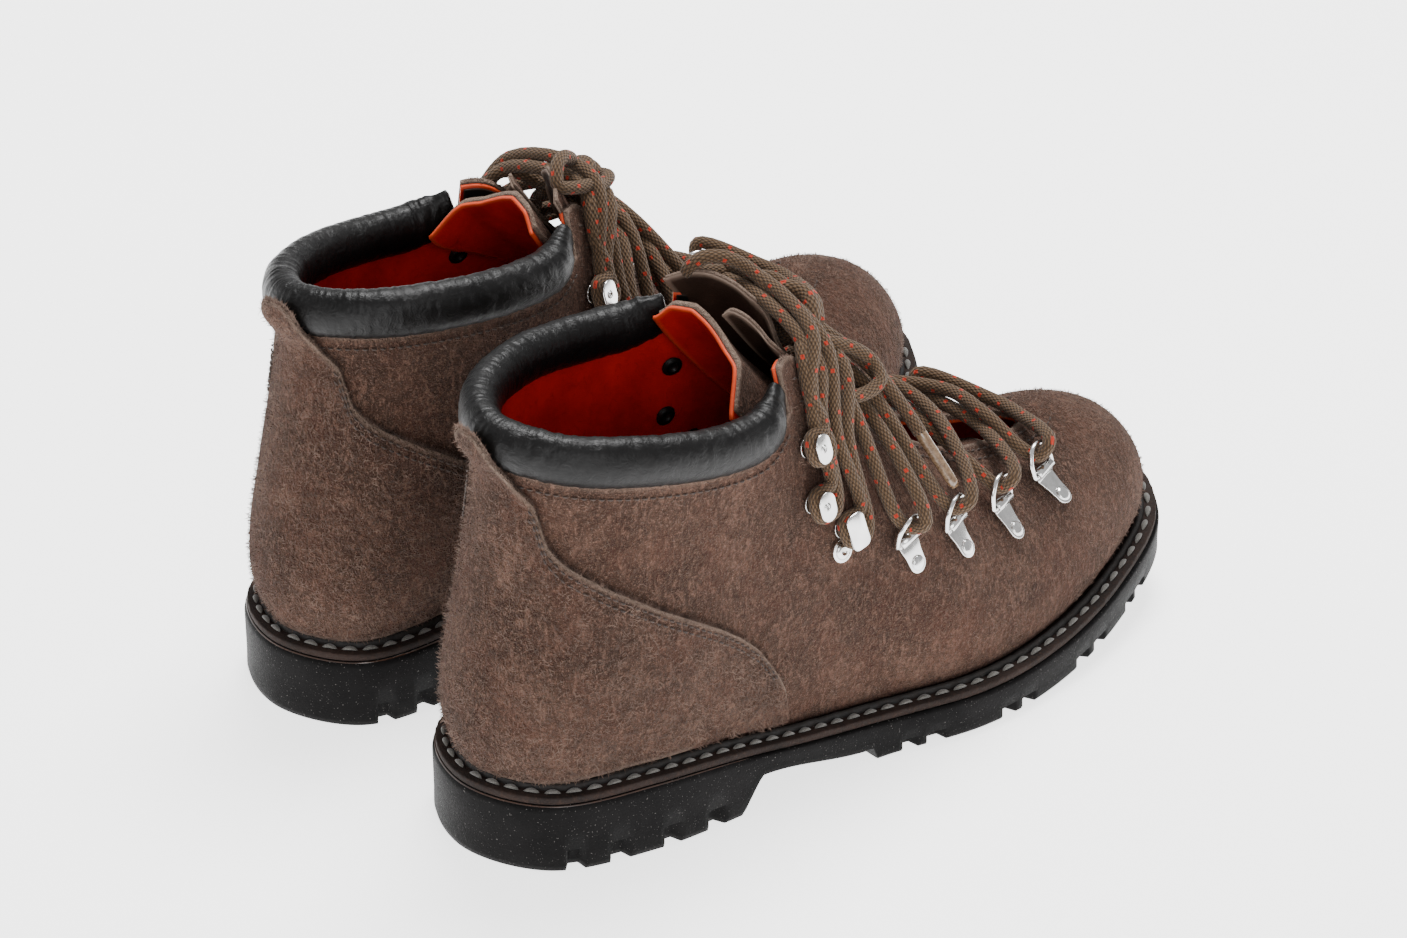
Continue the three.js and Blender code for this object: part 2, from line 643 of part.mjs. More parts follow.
// The bow: a knot in front of the shin, two loops and two ends, one piece of cord.
const knotCentre = vec(2, 141, 149);
const bow = { knotRadius: 8.5, knotHeight: 7, tip: 22, tipRadius: 1.9 };
const loopBehind = [
  [4, 136, 155], [-1, 133.6, 161], [-9.6, 131.5, 166], [-14, 124, 171], [-17.5, 118, 171], [-21, 115, 166],
  [-22, 122, 163], [-20.5, 130.5, 160.5], [-18, 138, 157], [-14, 145, 156], [-8, 147, 154], [-1, 145, 151],
];
const loopInFront = [
  [7, 142, 147], [11.5, 148, 142], [14, 157, 137], [17, 163, 131], [22, 162, 126.5], [23.5, 154, 125],
  [23, 146, 127], [20, 142, 132], [16, 139.5, 139], [8, 138, 146],
];
const outerEnd = [[4, 145, 148], [8, 152, 141], [12, 160, 133], [18, 166, 124], [24, 170, 115], [30, 173, 106]];
const innerEnd = [[-1, 145, 148], [-7, 152, 142], [-14, 158, 134], [-21, 163, 125], [-28, 168, 115], [-34, 174, 105]];

// A strand bends over the rounded shoulder between a hook and the edge of the throat.
function overShoulder(level, side, edgeStation) {
  const { station, up } = hookPlaces[level];
  return skinOffset(side * mix(station, edgeStation, 0.5) / stations, mix(up, 1, 0.55), lace.radius + 2);
}

function laceRoute() {
  const edgeStations = [7.45, 6.45, 5.8, 5, 4.7, 4.4, 4.15];
  const halves = [1, -1].map((start) => {
    const points = [];
    let side = start;
    const height = start > 0 ? lace.crossHigh : lace.crossLow;
    const cross = (edge) => points.push(overEdge(edge, side, height), overEdge(edge, -side, height));
    for (let level = 0; level < ringPlaces.length; level += 1) {
      points.push(...throughRing(level, side));
      cross(edgeStations[level + 1]);
      side = -side;
    }
    for (let level = 0; level < hookPlaces.length; level += 1) {
      const last = level === hookPlaces.length - 1;
      points.push(overShoulder(level, side, edgeStations[level + 4]));
      points.push(...roundHook(level, side));
      points.push(overShoulder(level, side, edgeStations[last ? 6 : level + 5]));
      if (!last) cross(edgeStations[level + 5]);
      side = -side;
    }
    side = -side;
    points.push(overEdge(edgeStations[6], side, lace.crossLow));
    points.push(knotCentre.clone().add(vec(15 * side, -2, -6)));
    return points;
  });
  const bridge = [overEdge(edgeStations[0], -1, lace.crossLow), overEdge(edgeStations[0], 1, lace.crossLow)];
  return [...halves[1].reverse(), ...bridge, ...halves[0]];
}

// The laces are flattened against the hooks that they pass behind.
function laceGeometry() {
  const hooks = [1, -1].flatMap((side) => hookFrames(side)
    .map((frame, k) => hookSolid(frame, k === 0, gap)));
  return toGeometry(largest(toSolid(tubeGeometry(laceRoute(), lace.radius, lace.sides)).subtract(joined(hooks))));
}

// The bow is pressed into the laces below it, so their shape is cut out of it with the clearance.
function bowGeometry() {
  const pressed = toSolid(tubeGeometry(laceRoute(), lace.radius + gap, lace.sides));
  const strand = (points) => toSolid(tubeGeometry(points.map((p) => vec(...p)), lace.radius, lace.sides));
  const tip = (points) => {
    const [before, last] = points.slice(-2).map((p) => vec(...p));
    const way = last.clone().sub(before).normalize();
    return toSolid(tubeGeometry([last.clone().addScaledVector(way, -1), last.clone().addScaledVector(way, bow.tip)],
      bow.tipRadius, lace.sides));
  };
  const knot = new THREE.IcosahedronGeometry(bow.knotRadius, 1).scale(1, 1, bow.knotHeight / bow.knotRadius);
  const cord = joined([
    toSolid(knot.translate(...knotCentre.toArray())),
    strand(loopBehind), strand(loopInFront), strand(outerEnd), strand(innerEnd), tip(outerEnd), tip(innerEnd),
  ]);
  return toGeometry(largest(cord.subtract(pressed)));
}

// ---------------------------------------------------------------- assembly
const looks = {
  suede: { color: 0x6f5549, roughness: 0.95, metalness: 0 },
  counterSuede: { color: 0x745a4d, roughness: 0.95, metalness: 0 },
  blackLeather: { color: 0x161515, roughness: 0.45, metalness: 0 },
  redLeather: { color: 0xb8331c, roughness: 0.6, metalness: 0 },
  weltLeather: { color: 0x14110f, roughness: 0.6, metalness: 0 },
  midsoleLeather: { color: 0x2a1b16, roughness: 0.5, metalness: 0 },
  rubber: { color: 0x151515, roughness: 0.8, metalness: 0 },
  cord: { color: 0x5d4a38, roughness: 0.9, metalness: 0 },
  nickel: { color: 0xd5d5d2, roughness: 0.18, metalness: 1 },
};

function makeBoot(foot) {
  const group = new THREE.Group();
  const add = (name, geometry, look) => group.add(finish(`${foot}_${name}`, geometry, look));
  add('outsole', outsoleGeometry(), looks.rubber);
  add('midsole', midsoleGeometry(), looks.midsoleLeather);
  add('welt', weltGeometry(), looks.weltLeather);
  add('insole', insoleGeometry(), looks.redLeather);
  add('upper', upperGeometry(), looks.suede);
  add('heel_counter', counterGeometry(), looks.counterSuede);
  add('collar', collarGeometry(), looks.blackLeather);
  add('lining', liningGeometry(), looks.redLeather);
  add('tongue', tongueGeometry(), looks.suede);
  add('tongue_flaps', flapsGeometry(), looks.suede);
  add('lace', laceGeometry(), looks.cord);
  add('bow', bowGeometry(), looks.cord);
  const ringShape = ringGeometry(ring.wire);
  const clipShape = clipGeometry();
  for (const side of [1, -1]) {
    add(`hooks_${sideName(side)}`, hooksGeometry(side), looks.nickel);
    ringPlaces.forEach((place, level) => {
      const clipMesh = finish(`${foot}_clip_${sideName(side)}_${level + 1}`, clipShape, looks.nickel);
      const ringMesh = finish(`${foot}_d_ring_${sideName(side)}_${level + 1}`, ringShape, looks.nickel);
      clipSeat(level, side).decompose(clipMesh.position, clipMesh.quaternion, clipMesh.scale);
      ringSeat(level, side).decompose(ringMesh.position, ringMesh.quaternion, ringMesh.scale);
      group.add(clipMesh, ringMesh);
    });
  }
  return group;
}

const pair = new THREE.Group();
const right = makeBoot('right');
const left = makeBoot('left');
left.scale.x = -1;
left.rotation.z = radians(boot.toeOut);
left.position.set(-boot.spacing, boot.stagger, 0);
pair.add(right, left);

const group = new THREE.Group();
group.add(pair);
group.updateMatrixWorld(true);
const box = new THREE.Box3().setFromObject(group, true);
const middle = box.getCenter(vec(0, 0, 0));
pair.position.set(-middle.x, -middle.y, -box.min.z);
group.updateMatrixWorld(true);

export default group;
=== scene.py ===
import bpy
import bmesh
import math
import random
from mathutils import Matrix, Vector, noise
from mathutils.kdtree import KDTree


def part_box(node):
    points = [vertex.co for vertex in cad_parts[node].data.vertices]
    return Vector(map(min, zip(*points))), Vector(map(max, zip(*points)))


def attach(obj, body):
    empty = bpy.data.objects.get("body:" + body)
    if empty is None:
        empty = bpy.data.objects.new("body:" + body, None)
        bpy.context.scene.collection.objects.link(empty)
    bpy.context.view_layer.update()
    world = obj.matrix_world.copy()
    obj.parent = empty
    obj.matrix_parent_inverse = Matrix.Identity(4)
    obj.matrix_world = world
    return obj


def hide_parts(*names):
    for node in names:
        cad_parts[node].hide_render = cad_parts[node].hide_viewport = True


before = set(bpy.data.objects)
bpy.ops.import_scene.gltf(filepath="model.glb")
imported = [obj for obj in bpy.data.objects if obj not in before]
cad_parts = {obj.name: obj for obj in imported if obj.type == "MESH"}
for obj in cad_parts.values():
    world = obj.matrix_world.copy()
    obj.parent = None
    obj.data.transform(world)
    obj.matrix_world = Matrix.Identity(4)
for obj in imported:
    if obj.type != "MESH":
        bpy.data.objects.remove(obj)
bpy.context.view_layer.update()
random.seed(7)

# ---------------------------------------------------------------- the last
# Every piece is drawn on one boot last in millimetres, toes to +Y and outer side to +X. The pair is
# a right boot and its mirror image, turned out a little and set back, as the frame has them.
SOLE_EDGE = [
    (0, 0, 0), (30, 30, 13), (43, 38.5, 48), (46.5, 35, 95), (49, 37, 141),
    (57, 46, 181), (55, 52, 217), (45, 47, 256), (27.5, 25, 290), (0, 0, 302),
]
LOW_GIRTH = [
    (0, 0, -9, 50, 50), (33, 32, 7, 52, 52), (44, 42, 47, 57, 57), (44, 40, 93, 56, 56),
    (47, 41, 140, 50, 50), (56, 47, 180, 41, 41), (55, 51, 216, 38, 38), (46, 46, 257, 40, 40),
    (28, 26, 291, 46, 46), (0, 0, 301, 50, 50),
]
HIGH_GIRTH = [
    (0, 0, 24, 100, 100), (17, 17, 32, 104, 104), (31, 31, 55, 106, 110), (36, 35, 98, 102, 108),
    (39, 37, 126, 101, 107), (41, 38, 163, 87, 90), (39, 38, 211, 75, 77), (34, 33, 250, 72, 73),
    (20, 18, 280, 76, 76), (0, 0, 284, 79, 79),
]
RIM = [
    (0, 0, 13, 157, 157), (23, 22, 25, 154, 158), (38, 37, 56, 149, 157), (39, 38, 97, 144, 154),
    (23, 23, 120, 151, 158), (17, 16, 153, 116, 119), (12, 12, 202, 82, 84), (8, 8, 234, 75, 75),
    (4, 4, 243, 74, 74), (0, 0, 244, 74, 74),
]
STATIONS = 18.0


def loop_of(rows):
    """A closed smooth line through the rows: heel, outer side, toe, inner side."""
    full = [tuple(row) + (0, 0)[:5 - len(row)] for row in rows]
    outer = [Vector((row[0], row[2], row[3])) for row in full]
    inner = [Vector((-row[1], row[2], row[4])) for row in reversed(full[1:-1])]
    points = outer + inner
    count = len(points)

    def at(u):
        place = (u % 1.0) * count
        first = int(place) % count
        w = place - int(place)
        p0, p1, p2, p3 = (points[(first + k) % count] for k in (-1, 0, 1, 2))
        d0, d1, d2 = ((b - a).length_squared ** 0.25 for a, b in ((p0, p1), (p1, p2), (p2, p3)))
        t1 = ((p1 - p0) / d0 - (p2 - p0) / (d0 + d1) + (p2 - p1) / d1) * d1
        t2 = ((p2 - p1) / d1 - (p3 - p1) / (d1 + d2) + (p3 - p2) / d2) * d1
        return p1 + t1 * w + (-3 * p1 + 3 * p2 - 2 * t1 - t2) * w * w + (2 * p1 - 2 * p2 + t1 + t2) * w ** 3
    return at


edge_loop = loop_of([row + (0, 0) for row in SOLE_EDGE])
low_loop = loop_of(LOW_GIRTH)
high_loop = loop_of(HIGH_GIRTH)
rim_loop = loop_of(RIM)


def mix(a, b, t):
    return a + (b - a) * t


def clamp(value, low=0.0, high=1.0):
    return max(low, min(high, value))


def smooth(t):
    t = clamp(t)
    return t * t * (3 - 2 * t)


def edge_point(u, inset):
    along = (edge_loop(u + 1e-3) - edge_loop(u - 1e-3)).normalized()
    return edge_loop(u) + Vector((-along.y, along.x, 0)) * inset


def spring(y):
    past = max(0.0, y - 190) / 112
    return 20 * past * past


def wall_top(y):
    return mix(25.5, 13.4, smooth((y - 45) / 110)) + spring(y)


ribs = {}


def rib(u):
    key = round(u % 1.0, 6)
    if key not in ribs:
        foot = edge_point(u, 9.5)
        foot.z = wall_top(foot.y) + 3.2
        ribs[key] = (foot, low_loop(u), high_loop(u), rim_loop(u))
    return ribs[key]


def skin(u, v):
    a, b, c, d = rib(u)
    w = 1 - v
    return a * w ** 3 + b * (3 * w * w * v) + c * (3 * w * v * v) + d * v ** 3


def skin_frame(u, v):
    along = (skin(u + 1e-3, v) - skin(u - 1e-3, v)).normalized()
    up = (skin(u, v + 1e-3) - skin(u, v - 1e-3)).normalized()
    out = along.cross(up).normalized()
    return skin(u, v), up.cross(out), up, out


def skin_offset(u, v, distance):
    out = skin_frame(u, clamp(v, 0.002, 0.998))[3]
    return skin(u, v) + out * distance


rim_shares = {}


def below_rim(u, drop):
    key = (round(u % 1.0, 6), drop)
    if key not in rim_shares:
        low, high = 0.5, 1.0
        goal = skin(u, 1).z - drop
        for step in range(24):
            middle = (low + high) / 2
            low, high = (middle, high) if skin(u, middle).z < goal else (low, middle)
        rim_shares[key] = low
    return rim_shares[key]


sole_low, sole_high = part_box("right_outsole")
edge_points = [edge_loop(i / 720) for i in range(720)]
shift = Vector((sole_high[0] * 1000 - max(p.x for p in edge_points),
                sole_low[1] * 1000 - min(p.y for p in edge_points), 0))
RIGHT = Matrix.Scale(0.001, 4) @ Matrix.Translation(shift)
SPACING, STAGGER, TOE_OUT = 108, 5, math.radians(4.3)
LEFT = (RIGHT @ Matrix.Translation((-SPACING, STAGGER, 0)) @ Matrix.Rotation(TOE_OUT, 4, 'Z')
        @ Matrix.Diagonal((-1, 1, 1, 1)))
FEET = {"right": RIGHT, "left": LEFT}

# ---------------------------------------------------------------- camera
# A long lens from in front of the right boot's outer side, well above the boots.
camera_data = bpy.data.cameras.new("camera")
camera_data.lens = 145.52
camera_data.sensor_width = 36
camera_data.sensor_fit = 'HORIZONTAL'
camera_data.clip_end = 50
camera = bpy.data.objects.new("camera", camera_data)
bpy.context.scene.collection.objects.link(camera)
camera.location = RIGHT @ Vector((1234.62, -941.88, 1039.70))
aim = RIGHT @ Vector((-58.745, 154.010, 60)) - camera.location
camera.rotation_mode = 'QUATERNION'
camera.rotation_quaternion = aim.to_track_quat('-Z', 'Y')
bpy.context.scene.camera = camera


# ---------------------------------------------------------------- bow of each boot
# The ends of the round braided lace, tied in a bow: a knot, a loop that falls behind the flaps, a
# loop that lies on the lacing, and two ends with clear tips. Olive cord with orange-red flecks.
class Maker:
    """A material under construction: p is its Principled node."""

    def __init__(self, name):
        self.material = bpy.data.materials.new(name)
        self.material.use_nodes = True
        self.tree = self.material.node_tree
        self.tree.nodes.clear()
        self.p = self.tree.nodes.new('ShaderNodeBsdfPrincipled')
        out = self.tree.nodes.new('ShaderNodeOutputMaterial')
        self.tree.links.new(self.p.outputs['BSDF'], out.inputs['Surface'])
        self.coords = self.tree.nodes.new('ShaderNodeTexCoord')

    def link(self, a, b):
        self.tree.links.new(a, b)

    def set(self, **values):
        for key, value in values.items():
            self.p.inputs[key.replace('_', ' ')].default_value = value

    def noise(self, scale, detail=3.0, rough=0.6, source=None, stretch=None, distortion=0.0):
        made = self.tree.nodes.new('ShaderNodeTexNoise')
        made.inputs['Scale'].default_value = scale
        made.inputs['Detail'].default_value = detail
        made.inputs['Roughness'].default_value = rough
        made.inputs['Distortion'].default_value = distortion
        source = source or self.coords.outputs['Object']
        if stretch:
            mapping = self.tree.nodes.new('ShaderNodeMapping')
            mapping.inputs['Scale'].default_value = stretch
            self.link(source, mapping.inputs['Vector'])
            source = mapping.outputs['Vector']
        self.link(source, made.inputs['Vector'])
        return made.outputs['Fac']

    def ramp(self, source, stops):
        made = self.tree.nodes.new('ShaderNodeValToRGB')
        elements = made.color_ramp.elements
        while len(elements) < len(stops):
            elements.new(0.5)
        for element, (place, color) in zip(elements, stops):
            element.position = place
            if isinstance(color, (int, float)):
                color = (color, color, color)
            element.color = (*color, 1)
        self.link(source, made.inputs['Fac'])
        return made.outputs['Color']

    def math(self, operation, a, b=0.5, c=0.0):
        made = self.tree.nodes.new('ShaderNodeMath')
        made.operation = operation
        for socket, value in zip(made.inputs, (a, b, c)):
            if isinstance(value, (int, float)):
                socket.default_value = value
            else:
                self.link(value, socket)
        return made.outputs['Value']

    def blend(self, factor, a, b, mode='MIX'):
        made = self.tree.nodes.new('ShaderNodeMix')
        made.data_type = 'RGBA'
        made.blend_type = mode
        if isinstance(factor, (int, float)):
            made.inputs[0].default_value = factor
        else:
            self.link(factor, made.inputs[0])
        for socket, value in ((made.inputs[6], a), (made.inputs[7], b)):
            if isinstance(value, tuple):
                socket.default_value = (*value, 1)
            else:
                self.link(value, socket)
        return made.outputs[2]

    def bump(self, height, strength, distance, before=None):
        made = self.tree.nodes.new('ShaderNodeBump')
        made.inputs['Strength'].default_value = strength
        made.inputs['Distance'].default_value = distance
        self.link(height, made.inputs['Height'])
        if before:
            self.link(before, made.inputs['Normal'])
        return made.outputs['Normal']

    def attribute(self, name, output='Fac'):
        made = self.tree.nodes.new('ShaderNodeAttribute')
        made.attribute_name = name
        return made.outputs[output]

    def color(self, socket):
        self.link(socket, self.p.inputs['Base Color'])

    def rough(self, socket):
        self.link(socket, self.p.inputs['Roughness'])

    def normal(self, socket):
        self.link(socket, self.p.inputs['Normal'])


def shell(columns, rows, point, wraps=False):
    """A sheet of quads: a grid whose square (u, v) is bent to point(u, v), its UV map kept from it."""
    bm = bmesh.new()
    layer = bm.loops.layers.uv.new("UVMap")
    bmesh.ops.create_grid(bm, x_segments=columns, y_segments=rows, size=1)
    squares = {v: ((v.co.x + 1) / 2, (v.co.y + 1) / 2) for v in bm.verts}
    for face in bm.faces:
        for loop in face.loops:
            loop[layer].uv = squares[loop.vert]
    for v, (a, b) in squares.items():
        v.co = point(a, b)
    if wraps:
        bmesh.ops.remove_doubles(bm, verts=bm.verts, dist=1e-4)
    return bm


def outward(bm):
    bmesh.ops.recalc_face_normals(bm, faces=bm.faces)
    return bm


def make_object(name, bm, matrix, material):
    copy = bm.copy()
    bmesh.ops.transform(copy, matrix=matrix, verts=copy.verts)
    if matrix.determinant() < 0:
        bmesh.ops.reverse_faces(copy, faces=copy.faces)
    mesh = bpy.data.meshes.new(name)
    copy.to_mesh(mesh)
    copy.free()
    mesh.materials.append(material)
    for face in mesh.polygons:
        face.use_smooth = True
    obj = bpy.data.objects.new(name, mesh)
    bpy.context.scene.collection.objects.link(obj)
    return obj


def both_feet(name, bm, material, body="boot", stands_for=()):
    """The piece on the right boot and its mirror image on the left one."""
    made = []
    for foot, matrix in FEET.items():
        obj = make_object(f"{foot}_{name}_piece", bm, matrix, material)
        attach(obj, f"{body}_{foot}" if body in ("boot", "tongue") else body.format(foot=foot))
        if stands_for:
            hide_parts(*[f"{foot}_{node_name}" for node_name in stands_for])
        made.append(obj)
    return made


def open_curve(points, per_span):
    """Points along a smooth centripetal line through the given ones."""
    points = [Vector(p) for p in points]
    ends = [points[0] * 2 - points[1]] + points + [points[-1] * 2 - points[-2]]
    line = []
    for i in range(len(points) - 1):
        p0, p1, p2, p3 = ends[i:i + 4]
        d0, d1, d2 = (max(1e-4, (b - a).length_squared ** 0.25) for a, b in ((p0, p1), (p1, p2), (p2, p3)))
        t1 = ((p1 - p0) / d0 - (p2 - p0) / (d0 + d1) + (p2 - p1) / d1) * d1
        t2 = ((p2 - p1) / d1 - (p3 - p1) / (d1 + d2) + (p3 - p2) / d2) * d1
        for k in range(per_span):
            w = k / per_span
            line.append(p1 + t1 * w + (-3 * p1 + 3 * p2 - 2 * t1 - t2) * w * w
                        + (2 * p1 - 2 * p2 + t1 + t2) * w ** 3)
    return line + [points[-1]]


def tube(line, radius, sides, bulge=None):
    """A round tube along a line, its ends closed. The UV map holds millimetres along, turns round."""
    lengths = [0.0]
    for a, b in zip(line, line[1:]):
        lengths.append(lengths[-1] + (b - a).length)
    ways = []
    for i in range(len(line)):
        ways.append((line[min(i + 1, len(line) - 1)] - line[max(i - 1, 0)]).normalized())
    side = ways[0].orthogonal().normalized()
    sides_at = []
    for way in ways:
        side = (side - way * side.dot(way)).normalized()
        sides_at.append(side)
    last = len(line) - 1

    def point(u, v):
        i = round(v * last)
        angle = 2 * math.pi * u
        up = ways[i].cross(sides_at[i])
        size = radius(lengths[i] / lengths[-1]) if callable(radius) else radius
        if bulge:
            size += bulge(lengths[i], angle)
        return line[i] + (sides_at[i] * math.cos(angle) + up * math.sin(angle)) * size
    bm = shell(sides, last, point)
    layer = bm.loops.layers.uv.active
    for face in bm.faces:
        for loop in face.loops:
            u, v = loop[layer].uv
            loop[layer].uv = (u, lengths[round(v * last)])
    bmesh.ops.remove_doubles(bm, verts=bm.verts, dist=1e-4)
    bmesh.ops.holes_fill(bm, edges=[e for e in bm.edges if e.is_boundary], sides=sides)
    return outward(bm)


def lace_material():
    m = Maker("braided_lace")
    split = m.tree.nodes.new('ShaderNodeSeparateXYZ')
    m.link(m.coords.outputs['UV'], split.inputs['Vector'])
    turn, along = split.outputs['X'], split.outputs['Y']
    plaits = 12.0
    pitch = 2.4
    right = m.math('ADD', m.math('MULTIPLY', turn, plaits), m.math('DIVIDE', along, pitch))
    left = m.math('SUBTRACT', m.math('MULTIPLY', turn, plaits), m.math('DIVIDE', along, pitch))
    wave_a = m.math('ABSOLUTE', m.math('SINE', m.math('MULTIPLY', right, math.pi)))
    wave_b = m.math('ABSOLUTE', m.math('SINE', m.math('MULTIPLY', left, math.pi)))
    braid = m.math('MAXIMUM', wave_a, wave_b)
    weave = m.math('MULTIPLY', wave_a, wave_b)
    fibres = m.noise(1500, 3, 0.6)
    tone = m.ramp(m.math('ADD', m.math('MULTIPLY', weave, 0.7), m.math('MULTIPLY', fibres, 0.3)),
                  [(0.0, (0.016, 0.0085, 0.0040)), (0.45, (0.080, 0.0460, 0.0235)), (1.0, (0.165, 0.101, 0.056))])
    # Two flecks side by side every 11 mm, where a coloured yarn comes to the top.
    cell = m.math('FRACT', m.math('DIVIDE', along, 11.0))
    cell_turn = m.math('FRACT', m.math('MULTIPLY', m.math('ADD', turn, m.math('MULTIPLY', m.math(
        'FLOOR', m.math('DIVIDE', along, 11.0)), 0.31)), 2.0))
    near = m.math('LESS_THAN', m.math('ABSOLUTE', m.math('SUBTRACT', cell, 0.35)), 0.06)
    near_b = m.math('LESS_THAN', m.math('ABSOLUTE', m.math('SUBTRACT', cell, 0.55)), 0.06)
    side_a = m.math('LESS_THAN', m.math('ABSOLUTE', m.math('SUBTRACT', cell_turn, 0.35)), 0.09)
    side_b = m.math('LESS_THAN', m.math('ABSOLUTE', m.math('SUBTRACT', cell_turn, 0.72)), 0.09)
    fleck = m.math('MAXIMUM', m.math('MULTIPLY', near, side_a), m.math('MULTIPLY', near_b, side_b))
    m.color(m.blend(m.math('MULTIPLY', fleck, 0.85), tone, (0.42, 0.022, 0.006)))
    m.set(Roughness=0.88, Sheen_Weight=0.08, Sheen_Roughness=0.6, Specular_IOR_Level=0.2)
    m.normal(m.bump(m.math('ADD', m.math('MULTIPLY', braid, 0.75), m.math('MULTIPLY', weave, 0.25)),
                    0.9, 0.0006, m.bump(fibres, 0.35, 0.0002)))
    return m.material


LACE = lace_material()
LACE_RADIUS = 2.4
KNOT = Vector((2, 141, 149))
loop_behind = [
    (4, 136, 155), (-1, 133.6, 161), (-9.6, 131.5, 166), (-14, 124, 171), (-17.5, 118, 171), (-21, 115, 166),
    (-22, 122, 163), (-20.5, 130.5, 160.5), (-18, 138, 157), (-14, 145, 156), (-8, 147, 154), (-1, 145, 151),
]
loop_in_front = [
    (7, 142, 147), (11.5, 148, 142), (14, 157, 137), (17, 163, 131), (22, 162, 126.5), (23.5, 154, 125),
    (23, 146, 127), (20, 142, 132), (16, 139.5, 139), (8, 138, 146),
]
outer_end = [(4, 145, 148), (8, 152, 141), (12, 160, 133), (18, 166, 124), (24, 170, 115), (30, 173, 106)]
inner_end = [(-1, 145, 148), (-7, 152, 142), (-14, 158, 134), (-21, 163, 125), (-28, 168, 115), (-34, 174, 105)]


def tied(foot, matrix, line, name):
    """One free strand of the bow, whose length along the line is measured."""
    bm = tube(line, LACE_RADIUS, 14)
    obj = make_object(f"{foot}_{name}", bm, matrix, LACE)
    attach(obj, f"boot_{foot}")
    world = [matrix @ p for p in line]
    length = sum((b - a).length for a, b in zip(world, world[1:]))
    tuple(world[0])
    [tuple(p) for p in world[::2] + [world[-1]]]
    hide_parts(f"{foot}_bow")


def tip_material():
    m = Maker("clear_lace_tip")
    fibres = m.noise(900, 3, 0.6)
    m.color(m.ramp(fibres, [(0.3, (0.10, 0.055, 0.030)), (0.7, (0.26, 0.17, 0.10))]))
    m.set(Roughness=0.12, Coat_Weight=0.8, Coat_Roughness=0.05)
    m.normal(m.bump(fibres, 0.3, 0.0002))
    return m.material


TIP = tip_material()
for foot, matrix in FEET.items():
    knot_line = open_curve([
        (-7, 139, 153), (-5, 144, 156), (1, 147, 155), (7, 145, 151), (8, 141, 146), (3, 139, 143),
        (-4, 141, 143), (-7, 145, 147), (-5, 148, 152), (2, 149, 153), (8, 146, 148),
    ], 6)
    knot = make_object(f"{foot}_knot", tube(knot_line, 3.0, 14), matrix, LACE)
    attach(knot, f"boot_{foot}")
    tied(foot, matrix, open_curve(loop_behind, 5), "loop_behind")
    tied(foot, matrix, open_curve(loop_in_front, 5), "loop_in_front")
    for side, end in (("outer", outer_end), ("inner", inner_end)):
        line = open_curve(end, 6)
        way = (line[-1] - line[-2]).normalized()
        start = line[-1] - way * 1.5
        tip_line = [start + way * (k * 23.5 / 12) for k in range(13)]
        sleeve = tube(tip_line, lambda t: 2.15 - 0.25 * t - (0.5 if t > 0.99 or t < 0.01 else 0), 14)
        tip = make_object(f"{foot}_tip_{side}", sleeve, matrix, TIP)
        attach(tip, f"boot_{foot}")
        tied(foot, matrix, line, f"end_{side}")
    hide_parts(f"{foot}_bow")

# ---------------------------------------------------------------- D-rings, clips and hooks
# Bright nickel fittings down each side of the throat: four wire D-rings, each in a folded clip with
# one rivet, then a lock hook on a two-lobed base and two open hooks, all riveted through the suede.
RING_PLACES = [(6.56, 0.735), (5.87, 0.671), (5.28, 0.622), (4.68, 0.569)]
HOOK_PLACES = [(4.08, 0.593), (3.78, 0.672), (3.9, 0.8)]
RING = {"wire": 0.95, "half": 6.1, "reach": 10.2, "tilt": math.radians(35), "hinge": 3.0}


def fitting(station, up, side):
    point, along, up_way, out = skin_frame(side * station / STATIONS, up)
    return {"point": point, "up": up_way, "out": out, "rear": along * -side}


def seat(place):
    across = place["up"].cross(place["out"])
    rows = [(across[k], place["up"][k], place["out"][k], place["point"][k]) for k in range(3)]
    return Matrix(rows + [(0, 0, 0, 1)])


def ring_place(level, side):
    station, up = RING_PLACES[level]
    return fitting(station - (0.12 if side < 0 else 0), up, side)


def nickel_material():
    m = Maker("bright_nickel")
    m.set(Metallic=1.0)
    haze = m.noise(120, 4, 0.65)
    scratch = m.noise(300, 2, 0.5, stretch=(1, 12, 1))
    m.color(m.ramp(haze, [(0.3, (0.62, 0.61, 0.60)), (0.75, (0.90, 0.89, 0.88))]))
    m.rough(m.ramp(m.math('MULTIPLY', haze, scratch), [(0.1, 0.10), (0.5, 0.30)]))
    m.normal(m.bump(scratch, 0.08, 0.0001))
    return m.material


NICKEL = nickel_material()


def joined(parts):
    """One mesh from several, each with the matrix that places it."""
    whole = bmesh.new()
    for part, matrix in parts:
        bmesh.ops.transform(part, matrix=matrix, verts=part.verts)
        mesh = bpy.data.meshes.new("part")
        part.to_mesh(mesh)
        part.free()
        whole.from_mesh(mesh)
        bpy.data.meshes.remove(mesh)
    return whole


def box_piece(size, at, bevel=0.25, segments=2):
    bm = bmesh.new()
    bmesh.ops.create_cube(bm, size=1)
    bmesh.ops.scale(bm, vec=size, verts=bm.verts)
    bmesh.ops.bevel(bm, geom=bm.edges[:], offset=bevel, segments=segments, profile=0.5,
                    affect='EDGES', material=-1)
    bmesh.ops.translate(bm, vec=at, verts=bm.verts)
    return bm


